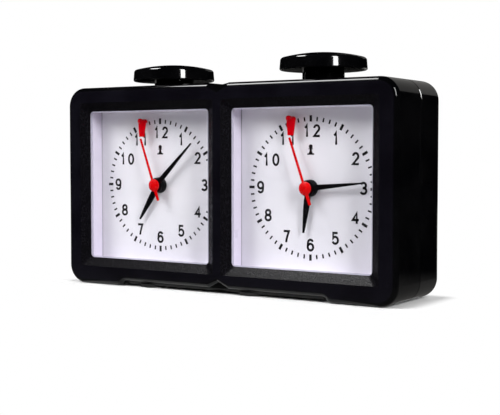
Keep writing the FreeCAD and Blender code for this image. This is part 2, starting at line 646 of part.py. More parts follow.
def make_hour_hand(x, angle):
    y0 = DIAL_Y - HOUR_PLANE - HAND_THICK / 2
    length = DIAL_RADIUS - HOUR_LENGTH_SHORT
    profile = mirrored_profile([(1.15, 1.5), (1.35, 5.0), (1.25, 8.0), (0.35, length)])
    blade = hand_blade(x, profile, y0, y0 + HAND_THICK, angle)
    hub = rod_y(x, DIAL_Z, HAND_HUB, y0, y0 + HAND_THICK)
    bore = rod_y(x, DIAL_Z, HOUR_TUBE_RADIUS, y0 - 1, y0 + 2)
    return joined([blade, hub]).cut(bore)


def make_minute_hand(x, angle):
    y0 = DIAL_Y - MINUTE_PLANE - HAND_THICK / 2
    length = DIAL_RADIUS - MINUTE_LENGTH_SHORT
    profile = mirrored_profile([(0.95, 1.5), (1.08, 5.0), (0.25, length)])
    blade = hand_blade(x, profile, y0, y0 + HAND_THICK, angle)
    hub = rod_y(x, DIAL_Z, HAND_HUB - 0.1, y0, y0 + HAND_THICK)
    bore = rod_y(x, DIAL_Z, CANNON_RADIUS, y0 - 1, y0 + 2)
    return joined([blade, hub]).cut(bore)


def make_second_hand(x, angle):
    y0 = DIAL_Y - SECOND_PLANE - SECOND_THICK / 2
    length = DIAL_RADIUS - SECOND_LENGTH_SHORT
    pointer = [(0.52, -SECOND_TAIL), (0.62, -3.0), (0.50, 2.0), (0.42, length)]
    blade = hand_blade(x, mirrored_profile(pointer), y0, y0 + SECOND_THICK, angle)
    hub = rod_y(x, DIAL_Z, 1.2, y0, y0 + SECOND_THICK + 0.6)
    sphere = (CAP_RADIUS ** 2 + CAP_HEIGHT ** 2) / (2 * CAP_HEIGHT)
    ball = Part.makeSphere(sphere, Vector(x, y0 - CAP_HEIGHT + sphere, DIAL_Z))
    cap = ball.common(rod_y(x, DIAL_Z, CAP_RADIUS, y0 - CAP_HEIGHT, y0))
    rim = rod_y(x, DIAL_Z, CAP_RADIUS, y0, y0 + SECOND_THICK)
    bore = rod_y(x, DIAL_Z, SECOND_SHAFT, y0 - 0.1, y0 + 2)
    return joined([blade, hub, cap, rim]).cut(bore)


def flag_pivot(x):
    return x + FLAG_PIVOT_X, DIAL_Z + OPENING_HEIGHT / 2 - FLAG_PIVOT_DROP


def make_flag(x):
    px, pz = flag_pivot(x)
    left = px - 1.0
    right = left + FLAG_TOP
    drift = 0.6
    points = [(left, pz + 0.4), (right, pz + 0.1), (left + drift + FLAG_TIP, pz - FLAG_LENGTH + 0.3),
              (left + drift, pz - FLAG_LENGTH + 0.3)]
    y0 = DIAL_Y - FLAG_PLANE - FLAG_THICK / 2
    blade = prism_y(points, y0, y0 + FLAG_THICK)
    eye = rod_y(px, pz, PIN_HEAD, y0, y0 + FLAG_THICK)
    return joined([blade, eye]).cut(rod_y(px, pz, PIN_RADIUS + RUNNING_GAP, y0 - 1, y0 + 2))


def make_flag_pins():
    pins = []
    front_y = DIAL_Y - FLAG_PLANE - FLAG_THICK / 2 - 0.15
    for x in (-DIAL_X, DIAL_X):
        px, pz = flag_pivot(x)
        shank = rod_y(px, pz, PIN_RADIUS, front_y, DIAL_BACK_Y)
        height = 0.55
        sphere = (PIN_HEAD ** 2 + height ** 2) / (2 * height)
        ball = Part.makeSphere(sphere, Vector(px, front_y - height + sphere, pz))
        head = ball.common(rod_y(px, pz, PIN_HEAD, front_y - height, front_y))
        washer = rod_y(px, pz, PIN_HEAD, front_y - 0.01, front_y + 0.01)
        step_y = DIAL_Y - FLAG_PLANE + FLAG_THICK / 2 + 0.15
        shoulder = rod_y(px, pz, PIN_RADIUS + 0.35, step_y, DIAL_Y)
        pins.append(joined([shank, head, washer, shoulder]))
    return Part.makeCompound(pins)


# ---- movement ----
def movement_spots(x):
    """Arbor places of one movement."""
    fast = offset_spot(x, DIAL_Z, FAST_DISTANCE, FAST_ANGLE)
    return {
        "centre": (x, DIAL_Z),
        "third": offset_spot(x, DIAL_Z, THIRD_DISTANCE, THIRD_ANGLE),
        "fast": fast,
        "rotor": offset_spot(fast[0], fast[1], ROTOR_DISTANCE, ROTOR_ANGLE),
        "setting": offset_spot(x, DIAL_Z, SETTING_DISTANCE, SETTING_ANGLE),
    }


def shell_box(x, y0, y1, inset=0.0):
    half = MOVEMENT_SIZE / 2 - inset
    return rounded_block(x, DIAL_Z, half, half, max(MOVEMENT_CORNER - inset, 0.6), y0, y1)


def make_movement_front(x):
    spots = movement_spots(x)
    shell = shell_box(x, DIAL_BACK_Y, PLATE_BACK_Y)
    bush = rod_y(x, DIAL_Z, BUSH_RADIUS, DIAL_Y - BUSH_HEIGHT, DIAL_BACK_Y)
    tools = [shell_box(x, GEAR_FRONT_Y, PLATE_FRONT_Y, MOVEMENT_WALL + LEDGE),
             shell_box(x, PLATE_FRONT_Y, PLATE_BACK_Y + 1, MOVEMENT_WALL),
             rod_y(x, DIAL_Z, HOUR_TUBE_RADIUS + RUNNING_GAP, DIAL_Y - BUSH_HEIGHT - 1, GEAR_FRONT_Y + 1),
             rod_y(*spots["setting"], SETTING_PIVOT + RUNNING_GAP, GEAR_FRONT_Y - 0.8, GEAR_FRONT_Y + 1)]
    return joined([shell, bush]).cut(tools)


def make_middle_plate(x):
    spots = movement_spots(x)
    plate = shell_box(x, PLATE_FRONT_Y, PLATE_BACK_Y, MOVEMENT_WALL + LOCATING_GAP)
    holes = [rod_y(x, DIAL_Z, CANNON_RADIUS + RUNNING_GAP, PLATE_FRONT_Y - 1, PLATE_BACK_Y + 1),
             rod_y(*spots["setting"], SETTING_ARBOR + RUNNING_GAP, PLATE_FRONT_Y - 1, PLATE_BACK_Y + 1)]
    for name in ("third", "fast", "rotor"):
        holes.append(rod_y(*spots[name], FINE_ARBOR + RUNNING_GAP, PLATE_FRONT_Y - 1, PLATE_BACK_Y + 1))
    return plate.cut(holes)


def make_movement_cover(x):
    spots = movement_spots(x)
    cover = shell_box(x, PLATE_BACK_Y, MOVEMENT_BACK_Y)
    tools = [shell_box(x, PLATE_BACK_Y - 1, GEAR_BACK_Y, MOVEMENT_WALL + LEDGE),
             rod_y(*spots["setting"], SETTING_ARBOR + RUNNING_GAP, GEAR_BACK_Y - 1, MOVEMENT_BACK_Y + 1),
             rod_y(x, DIAL_Z, SECOND_SHAFT + RUNNING_GAP, GEAR_BACK_Y - 1, GEAR_BACK_Y + 0.75)]
    for name in ("third", "fast", "rotor"):
        tools.append(rod_y(*spots[name], FINE_ARBOR + RUNNING_GAP, GEAR_BACK_Y - 1, GEAR_BACK_Y + 0.75))
    return cover.cut(tools)


def train_level(offset):
    """Plane in the gear space, measured forward from the back of that space."""
    return GEAR_BACK_Y - offset


def fine_arbor(spot):
    return rod_y(*spot, FINE_ARBOR, PLATE_FRONT_Y + 0.2, GEAR_BACK_Y + 0.7)


def train_phases():
    """Tooth phases that put every pair in mesh, from the second wheel outwards."""
    fast_pinion = meshing_phase(SECOND_TEETH, 0.0, FAST_ANGLE, FAST_PINION)
    rotor = meshing_phase(FAST_TEETH, 0.0, ROTOR_ANGLE, ROTOR_PINION)
    third = meshing_phase(SECOND_PINION, 0.0, THIRD_ANGLE, THIRD_TEETH)
    centre = meshing_phase(THIRD_PINION, 0.0, THIRD_ANGLE + 180.0, CENTRE_TEETH)
    minute = meshing_phase(CANNON_TEETH, 0.0, SETTING_ANGLE, MINUTE_TEETH)
    hour = meshing_phase(MINUTE_PINION, 0.0, SETTING_ANGLE + 180.0, HOUR_TEETH)
    return {"fast_pinion": fast_pinion, "rotor": rotor, "third": third, "centre": centre,
            "minute": minute, "hour": hour}


def make_rotor(x):
    spot = movement_spots(x)["rotor"]
    magnet = rod_y(*spot, MAGNET_RADIUS, train_level(6.8), train_level(5.0))
    pinion = gear(*spot, ROTOR_PINION, ROTOR_MODULE, train_phases()["rotor"],
                  train_level(1.3), train_level(0.3))
    return joined([fine_arbor(spot), magnet, pinion])


def make_intermediate_wheel(x):
    spot = movement_spots(x)["fast"]
    wheel = gear(*spot, FAST_TEETH, ROTOR_MODULE, 0.0, train_level(1.1), train_level(0.4))
    pinion = gear(*spot, FAST_PINION, FAST_MODULE, train_phases()["fast_pinion"],
                  train_level(2.5), train_level(1.0))
    return joined([fine_arbor(spot), wheel, pinion])


def make_second_wheel(x):
    front = DIAL_Y - SECOND_PLANE - SECOND_THICK / 2 - 0.1
    shaft = rod_y(x, DIAL_Z, SECOND_SHAFT, front, GEAR_BACK_Y + 0.7)
    wheel = gear(x, DIAL_Z, SECOND_TEETH, FAST_MODULE, 0.0, train_level(2.3), train_level(1.5))
    pinion = gear(x, DIAL_Z, SECOND_PINION, THIRD_MODULE, 0.0, train_level(3.6), train_level(2.2))
    return joined([shaft, wheel, pinion])


def make_third_wheel(x):
    spot = movement_spots(x)["third"]
    wheel = gear(*spot, THIRD_TEETH, THIRD_MODULE, train_phases()["third"],
                 train_level(3.4), train_level(2.6))
    pinion = gear(*spot, THIRD_PINION, CENTRE_MODULE, 0.0, train_level(4.9), train_level(3.3))
    return joined([fine_arbor(spot), wheel, pinion])


def make_centre_wheel(x):
    wheel = gear(x, DIAL_Z, CENTRE_TEETH, CENTRE_MODULE, train_phases()["centre"],
                 train_level(4.7), train_level(3.9))
    hub = rod_y(x, DIAL_Z, 2.0, train_level(5.9), train_level(3.9))
    return joined([wheel, hub]).cut(rod_y(x, DIAL_Z, CANNON_RADIUS + RUNNING_GAP, -50, 50))


def make_cannon_pinion(x):
    front = DIAL_Y - MINUTE_PLANE - HAND_THICK / 2 - 0.1
    tube = rod_y(x, DIAL_Z, CANNON_RADIUS, front, train_level(3.8))
    pinion = gear(x, DIAL_Z, CANNON_TEETH, MOTION_MODULE_A, 0.0, GEAR_FRONT_Y + 1.4, GEAR_FRONT_Y + 2.6)
    return joined([tube, pinion]).cut(rod_y(x, DIAL_Z, SECOND_SHAFT + RUNNING_GAP, -50, 50))


def make_minute_wheel(x):
    spot = movement_spots(x)["setting"]
    pivot = rod_y(*spot, SETTING_PIVOT, GEAR_FRONT_Y - 0.7, GEAR_FRONT_Y + 0.3)
    arbor = rod_y(*spot, SETTING_ARBOR, GEAR_FRONT_Y + 0.2, POCKET_FLOOR_Y + 1.6)
    pinion = gear(*spot, MINUTE_PINION, MOTION_MODULE_B, 0.0, GEAR_FRONT_Y + 0.2, GEAR_FRONT_Y + 1.6)
    wheel = gear(*spot, MINUTE_TEETH, MOTION_MODULE_A, train_phases()["minute"],
                 GEAR_FRONT_Y + 1.55, GEAR_FRONT_Y + 2.45)
    return joined([pivot, arbor, pinion, wheel])


def make_hour_wheel(x):
    front = DIAL_Y - HOUR_PLANE - HAND_THICK / 2 - 0.1
    tube = rod_y(x, DIAL_Z, HOUR_TUBE_RADIUS, front, GEAR_FRONT_Y + 1.15)
    wheel = gear(x, DIAL_Z, HOUR_TEETH, MOTION_MODULE_B, train_phases()["hour"],
                 GEAR_FRONT_Y + 0.4, GEAR_FRONT_Y + 1.15)
    return joined([tube, wheel]).cut(rod_y(x, DIAL_Z, CANNON_RADIUS + RUNNING_GAP, -50, 50))


def make_setting_knob(x):
    knob_x, knob_z = movement_spots(x)["setting"]
    y0 = POCKET_FLOOR_Y + 0.3
    y1 = y0 + KNOB_LENGTH
    points = []
    flutes = 24
    for index in range(flutes * 4):
        turn = 2 * math.pi * index / (flutes * 4)
        radius = KNOB_RADIUS if index % 4 < 2 else KNOB_RADIUS - 0.45
        points.append((knob_x + radius * math.cos(turn), knob_z + radius * math.sin(turn)))
    grip = prism_y(points, y0, y1)
    dish = Part.makeCone(KNOB_RADIUS - 2.2, KNOB_RADIUS - 1.4, 0.7, Vector(knob_x, y1 - 0.7, knob_z),
                         Vector(0, 1, 0))
    seat = rod_y(knob_x, knob_z, SETTING_ARBOR, y0 - 1, POCKET_FLOOR_Y + 1.6)
    return grip.cut([dish, seat])


def make_stator(x):
    rotor_x, rotor_z = movement_spots(x)["rotor"]
    fast_x, fast_z = movement_spots(x)["fast"]
    y0 = train_level(STATOR_LEVEL + STATOR_THICK / 2)
    y1 = train_level(STATOR_LEVEL - STATOR_THICK / 2)
    half = COIL_LENGTH / 2 + 3.5
    left = rotor_x - STATOR_HOLE - 0.5
    right = x + COIL_X - COIL_RADIUS - 0.2
    bar = box(left, right, y0, y1, DIAL_Z - half, DIAL_Z + half)
    arms = [box(left, x + COIL_X + 1.4, y0, y1, DIAL_Z + s * half - (3.0 if s > 0 else 0),
                DIAL_Z + s * half + (0 if s > 0 else 3.0)) for s in (1, -1)]
    holes = [rod_y(rotor_x, rotor_z, STATOR_HOLE, y0 - 1, y1 + 1),
             rod_y(fast_x, fast_z, FINE_ARBOR + 0.5, y0 - 1, y1 + 1)]
    return joined([bar] + arms).cut(holes)


def make_coil(x):
    cy = train_level(STATOR_LEVEL)
    half = COIL_LENGTH / 2
    cx = x + COIL_X
    winding = rod_z(cx, cy, COIL_RADIUS - 0.5, DIAL_Z - half, DIAL_Z + half)
    cheeks = [rod_z(cx, cy, COIL_RADIUS, DIAL_Z + s * half - (1 if s > 0 else 0),
                    DIAL_Z + s * half + (0 if s > 0 else 1)) for s in (1, -1)]
    leaf = STATOR_THICK / 2
    bore = box(cx - 1.4, cx + 1.4, cy - leaf, cy + leaf, DIAL_Z - half - 1, DIAL_Z + half + 1)
    core = box(cx - 1.4, cx + 1.4, cy - leaf, cy + leaf, DIAL_Z - half - 0.5, DIAL_Z + half + 0.5)
    return Part.makeCompound([joined([winding] + cheeks).cut(bore), core])


def make_circuit_board(x):
    y0 = PLATE_BACK_Y
    z0 = DIAL_Z + 13.2
    board = box(x - 21.0, x + 9.0, y0, y0 + 1.0, z0, DIAL_Z + 22.0)
    chip = rod_y(x - 4.0, z0 + 4.5, 2.6, y0 + 1.0, y0 + 2.0)
    crystal = rod_x(y0 + 2.0, z0 + 4.5, 1.0, x - 17.0, x - 10.0)
    return joined([board, chip, crystal])


# ---- buttons, rocker and switch ----
def make_button(x, raised):
    lift = BUTTON_TRAVEL if raised else 0.0
    bottom = DISC_PRESSED + lift
    rim_top = bottom + DISC_SIDE
    upper = DISC_RADIUS - DISC_DRAFT
    disc = Part.makeCone(DISC_RADIUS, upper, DISC_SIDE, Vector(x, BUTTON_Y, bottom))
    sphere = (upper ** 2 + DISC_DOME ** 2) / (2 * DISC_DOME)
    ball = Part.makeSphere(sphere, Vector(x, BUTTON_Y, rim_top + DISC_DOME - sphere))
    dome = ball.common(rod_z(x, BUTTON_Y, upper, rim_top, rim_top + DISC_DOME + 1))
    head = joined([disc, dome])
    head = head.makeFillet(SHOULDER_ROUND, edges_at_height(head, rim_top))
    head = head.makeFillet(DISC_EDGE, edges_at_height(head, bottom))
    foot = ROCKER_HEIGHT + ROCKER_PAD + CONTACT_GAP - BUTTON_TRAVEL / 2 + lift
    stem = rod_z(x, BUTTON_Y, STEM_RADIUS, foot, bottom + 0.5)
    collar_top = INNER_TOP - 0.2 - BUTTON_TRAVEL + lift
    collar = rod_z(x, BUTTON_Y, COLLAR_RADIUS, collar_top - COLLAR_HEIGHT, collar_top)
    bore = rod_z(x, BUTTON_Y, STEM_BORE, foot - 1, bottom - 1.0)
    web = box(x - STEM_BORE - 0.5, x + STEM_BORE + 0.5, BUTTON_Y - 0.8, BUTTON_Y + 0.8, foot, bottom)
    return joined([joined([stem, collar]).cut(bore), web, head])


def make_rocker():
    y0 = BUTTON_Y - ROCKER_DEPTH / 2
    y1 = BUTTON_Y + ROCKER_DEPTH / 2
    z = ROCKER_HEIGHT
    waist = DIAL_X - COLLAR_RADIUS - 1.0
    upper = [(0, 3.4), (waist, 1.3), (DIAL_X - 0.5, 1.0)]
    outline = [(x, z + rise) for x, rise in upper]
    outline += [(x, z - rise) for x, rise in reversed(upper)]
    outline += [(-x, z - rise) for x, rise in upper[1:]]
    outline += [(-x, z + rise) for x, rise in reversed(upper[1:])]
    arms = prism_y(outline, y0, y1)
    pads = [rod_y(s * DIAL_X, z, ROCKER_PAD, y0, y1) for s in (1, -1)]
    nose = prism_y([(-1.8, z - 2), (-0.6, z - 7.6), (0.6, z - 7.6), (1.8, z - 2)], y0 + 1, y1 - 1)
    hub = rod_y(0, z, ROCKER_HUB, y0, y1)
    lever = joined([arms, hub, nose] + pads)
    lever = lever.cut(rod_y(0, z, ROCKER_PIN + RUNNING_GAP, y0 - 1, y1 + 1))
    return around(lever, 0, z, -ROCK_ANGLE)


def make_rocker_pin():
    front = BUTTON_Y - ROCKER_DEPTH / 2 - 5.9
    back = BUTTON_Y + ROCKER_DEPTH / 2 + 6.0
    return rod_y(0, ROCKER_HEIGHT, ROCKER_PIN, front, back)


def make_detent_spring():
    """Bent leaf standing on the battery bay and bearing under the rocker's nose."""
    base = BAY_TOP + BAY_WALL
    crest = ROCKER_HEIGHT - 8.0
    thick = 0.4
    points = [(-5, base), (5, base), (5, base + thick), (1.2, base + thick), (3.2, crest - 1.0),
              (0, crest), (-3.2, crest - 1.0), (-3.0, crest - 1.0 - thick), (0, crest - thick),
              (2.6, crest - 1.2), (0.6, base + thick), (-5, base + thick)]
    return prism_y(points, BUTTON_Y - 1.6, BAY_FRONT_Y + 2.8)


def make_switch_contacts():
    strips = []
    base = DIAL_Z + MOVEMENT_SIZE / 2
    thick = 0.3
    for side in (-1, 1):
        x = side * SWITCH_REACH
        foot = x + side * 9
        points = [(x, base), (foot, base), (foot, base + thick), (x + side * 0.6, base + thick),
                  (x - side * 3.0, base + 1.6), (x - side * 3.3, base + 1.4)]
        strips.append(prism_y(points, BUTTON_Y - 2.0, BUTTON_Y + 2.0))
    return Part.makeCompound(strips)


# ---- battery ----
def make_battery():
    can = rod_z(0, BATTERY_Y, BATTERY_RADIUS, BATTERY_LOW, BATTERY_LOW + BATTERY_LENGTH)
    ends = [e for e in can.Edges if e.Curve.TypeId == "Part::GeomCircle"]
    can = can.makeFillet(0.5, ends)
    nub = rod_z(0, BATTERY_Y, NUB_RADIUS, BATTERY_LOW + BATTERY_LENGTH - 0.1,
                BATTERY_LOW + BATTERY_LENGTH + NUB_HEIGHT)
    return joined([can, nub])


def make_battery_contacts():
    """Sprung leaf under the battery and a dimpled plate above it."""
    y = BATTERY_Y
    low = BAY_FLOOR
    thick = CONTACT_THICK
    spring = prism_x([(y - 5, low), (y + 5, low), (y + 5, low + thick), (y - 3.4, low + thick),
                      (y + 3.0, BATTERY_LOW - 0.4), (y + 3.0, BATTERY_LOW), (y, BATTERY_LOW),
                      (y - 5, low + thick)], -3.5, 3.5)
    top = BAY_TOP
    nub_top = BATTERY_LOW + BATTERY_LENGTH + NUB_HEIGHT
    plate = box(-4.5, 4.5, y - 5, y + 5, top - thick, top)
    dimple = rod_z(0, y, 2.2, nub_top, top - thick + 0.1)
    return Part.makeCompound([spring, joined([plate, dimple])])


def main():
    os.makedirs("parts", exist_ok=True)
    save("front_casing", make_front_casing())
    save("rear_casing", make_rear_casing())
    save("battery_door", make_battery_door())
    save("casing_screws", make_case_screws())
    save("foot_pads", make_foot_pads())
    save("inner_screws", make_inner_screws())
    save("dial_nuts", make_dial_nuts())
    save("flag_pins", make_flag_pins())
    save("rocker", make_rocker())
    save("rocker_pin", make_rocker_pin())
    save("detent_spring", make_detent_spring())
    save("switch_contacts", make_switch_contacts())
    save("battery", make_battery())
    save("battery_contacts", make_battery_contacts())
    for side, x, time, raised in (("left", -DIAL_X, LEFT_TIME, False), ("right", DIAL_X, RIGHT_TIME, True)):
        save(side + "_lens", make_lens(x))
        save(side + "_dial_surround", make_dial_surround(x))
        save(side + "_dial_plate", make_dial_plate(x))
        save(side + "_hour_hand", make_hour_hand(x, time["hour"]))
        save(side + "_minute_hand", make_minute_hand(x, time["minute"]))
        save(side + "_second_hand", make_second_hand(x, time["second"]))
        save(side + "_flag", make_flag(x))
        save(side + "_movement_front", make_movement_front(x))
        save(side + "_middle_plate", make_middle_plate(x))
        save(side + "_movement_cover", make_movement_cover(x))
        save(side + "_circuit_board", make_circuit_board(x))
        save(side + "_coil", make_coil(x))
        save(side + "_stator", make_stator(x))
        save(side + "_rotor", make_rotor(x))
        save(side + "_intermediate_wheel", make_intermediate_wheel(x))
        save(side + "_second_wheel", make_second_wheel(x))
        save(side + "_third_wheel", make_third_wheel(x))
        save(side + "_centre_wheel", make_centre_wheel(x))
        save(side + "_cannon_pinion", make_cannon_pinion(x))
        save(side + "_minute_wheel", make_minute_wheel(x))
        save(side + "_hour_wheel", make_hour_wheel(x))
        save(side + "_setting_knob", make_setting_knob(x))
        save(side + "_button", make_button(x, raised))


main()
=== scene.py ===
"""Finishes and printed marks of a two-dial chess clock, with the studio that it stands in."""

import math

import bpy
import numpy as np
from bpy.props import FloatProperty, FloatVectorProperty, PointerProperty, StringProperty
from bpy.types import Operator, Panel, PropertyGroup
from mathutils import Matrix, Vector


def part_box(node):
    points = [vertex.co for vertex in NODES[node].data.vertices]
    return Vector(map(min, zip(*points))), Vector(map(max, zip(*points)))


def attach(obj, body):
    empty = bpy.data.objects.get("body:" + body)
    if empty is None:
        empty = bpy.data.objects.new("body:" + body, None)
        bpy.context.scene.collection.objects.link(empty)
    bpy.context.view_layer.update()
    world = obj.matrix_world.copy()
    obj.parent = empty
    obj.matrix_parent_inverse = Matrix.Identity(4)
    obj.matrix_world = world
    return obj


bl_info = {
    "name": "Chess clock finishes",
    "version": (1, 0, 0),
    "blender": (4, 5, 0),
    "location": "View3D > Sidebar > Chess clock",
    "description": "Gives a two-dial chess clock its mouldings, dials, hands and movements",
    "category": "Object",
}

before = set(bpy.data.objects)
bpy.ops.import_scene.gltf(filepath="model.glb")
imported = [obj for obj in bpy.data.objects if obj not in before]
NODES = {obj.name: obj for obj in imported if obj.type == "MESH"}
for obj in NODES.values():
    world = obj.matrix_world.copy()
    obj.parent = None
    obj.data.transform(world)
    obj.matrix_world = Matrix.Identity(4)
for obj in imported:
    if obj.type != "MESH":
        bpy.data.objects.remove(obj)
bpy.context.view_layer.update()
SIDES = ("left", "right")


def middle(name):
    """Centre of a CAD node's box."""
    low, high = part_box(name)
    return (low + high) / 2


DIAL_CENTRE = {side: middle(side + "_hour_wheel") for side in SIDES}
DIAL_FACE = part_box("left_dial_plate")[0].y
CASE_LOW, CASE_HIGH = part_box("front_casing")[0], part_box("rear_casing")[1]

# places on the mouldings in millimetres: the bevel's outer edge and the start of the window's cut edge,
# half across and half up from a dial's centre; how far behind the rim the bevel reaches; and the band of
# painted shadow on the dial board where it meets the tray wall, across from the centre
BEVEL_EDGE = (35.28, 35.58)
CUT_EDGE = (31.15, 31.45)
BEVEL_REACH = 3.5
TRAY_GAP_SHADE = (32.25, 32.45)


# ---- helpers ----
def linear(code):
    """An sRGB hex colour as linear red, green, blue and one."""
    values = [int(code[i:i + 2], 16) / 255 for i in (1, 3, 5)]
    return [v / 12.92 if v <= 0.04045 else ((v + 0.055) / 1.055) ** 2.4 for v in values] + [1.0]


def add(tree, kind, inputs=None, out=0, **settings):
    """Adds a node: its settings, then its inputs as values or as the sockets that feed them. Gives its
    output out, or all its outputs where out is None."""
    node = tree.nodes.new(kind)
    for name, value in settings.items():
        setattr(node, name, value)
    for key, value in (inputs or {}).items():
        if isinstance(value, bpy.types.NodeSocket):
            tree.links.new(value, node.inputs[key])
        else:
            node.inputs[key].default_value = value
    return node.outputs if out is None or len(node.outputs) == 0 else node.outputs[out]


def blank_material(name):
    """A new material with an empty tree, and Object coordinates counted in millimetres, so that the
    scale of a noise is one over the size of its lumps in millimetres."""
    material = bpy.data.materials.new(name)
    material.use_nodes = True
    tree = material.node_tree
    tree.nodes.clear()
    place = add(tree, "ShaderNodeTexCoord", out="Object")
    mm = add(tree, "ShaderNodeVectorMath", {0: place, 3: 1000.0}, operation="SCALE")
    return material, tree, mm


def from_dial(tree, mm):
    """How far a point lies across from the nearer dial's centre, its depth, and how far it lies above
    or below that centre."""
    x, depth, z = add(tree, "ShaderNodeSeparateXYZ", {0: mm}, out=None)
    centre = DIAL_CENTRE["right"] * 1000
    across = add(tree, "ShaderNodeMath", {0: x}, operation="ABSOLUTE")
    across = add(tree, "ShaderNodeMath", {0: across, 1: centre.x}, operation="SUBTRACT")
    across = add(tree, "ShaderNodeMath", {0: across}, operation="ABSOLUTE")
    upward = add(tree, "ShaderNodeMath", {0: z, 1: centre.z}, operation="SUBTRACT")
    upward = add(tree, "ShaderNodeMath", {0: upward}, operation="ABSOLUTE")
    return across, depth, upward


def outside_case(tree, mm):
    """How far a point of the floor lies outside the case's footprint, in millimetres."""
    apart = add(tree, "ShaderNodeVectorMath", {0: mm}, operation="ABSOLUTE")
    apart = add(tree, "ShaderNodeVectorMath", {0: apart, 1: CASE_HIGH * 1000}, operation="SUBTRACT")
    apart = add(tree, "ShaderNodeVectorMath", {0: apart, 1: (0, 0, 0)}, operation="MAXIMUM")
    return add(tree, "ShaderNodeVectorMath", {0: apart}, out="Value", operation="LENGTH")


def seen_or_mirrored(tree):
    """1 for a ray that shows the room to the camera, in a gloss or through a window, and 0 for the rest."""
    ray = add(tree, "ShaderNodeLightPath", out=None)
    mirrored = add(tree, "ShaderNodeMath", {0: ray["Is Glossy Ray"], 1: ray["Is Transmission Ray"]},
                   operation="MAXIMUM")
    return add(tree, "ShaderNodeMath", {0: ray["Is Camera Ray"], 1: mirrored}, operation="MAXIMUM")


def dress(names, material):
    """Puts a material in the slot of CAD nodes."""
    for name in names:
        slots = NODES[name].data.materials
        slots.clear()
        slots.append(material)


def both(*names):
    """The names of nodes that both sides have."""
    return [side + "_" + name for side in SIDES for name in names]


def moulded_plastic(name, dark, light, roughness, grain_mm, grain_height, wave_mm=14.0, specular=0.5):
    """A moulded plastic: colour and gloss drift slowly, over a fine grain left by the mould, whose size
    and height are given in millimetres."""
    material, tree, mm = blank_material(name)
    drift = add(tree, "ShaderNodeTexNoise", {"Vector": mm, "Scale": 1.0 / wave_mm, "Detail": 3.0})
    share = add(tree, "ShaderNodeMapRange", {0: drift, 1: 0.35, 2: 0.65}, interpolation_type="SMOOTHSTEP")
    colour = add(tree, "ShaderNodeMix", {0: share, 6: linear(dark), 7: linear(light)}, out=2,
                 data_type="RGBA")
    rough = add(tree, "ShaderNodeMapRange", {
        0: drift, 1: 0.3, 2: 0.7, 3: roughness * 0.8, 4: roughness * 1.25}, interpolation_type="SMOOTHSTEP")
    grain = add(tree, "ShaderNodeTexNoise", {"Vector": mm, "Scale": 1.0 / grain_mm, "Detail": 3.0})
    bump = add(tree, "ShaderNodeBump", {"Height": grain, "Strength": 1.0, "Distance": grain_height * 0.001})
    shader = add(tree, "ShaderNodeBsdfPrincipled", {
        "Base Color": colour, "Roughness": rough, "Specular IOR Level": specular, "Normal": bump})
    add(tree, "ShaderNodeOutputMaterial", {"Surface": shader})
    return material


# ---- materials ----
def gloss_abs_black(colours):
    """High-gloss black ABS from a polished mould: near-black, with crisp lights and a faint ripple."""
    return moulded_plastic("gloss_abs_black", *colours.split(), 0.07, 5.0, 0.002)


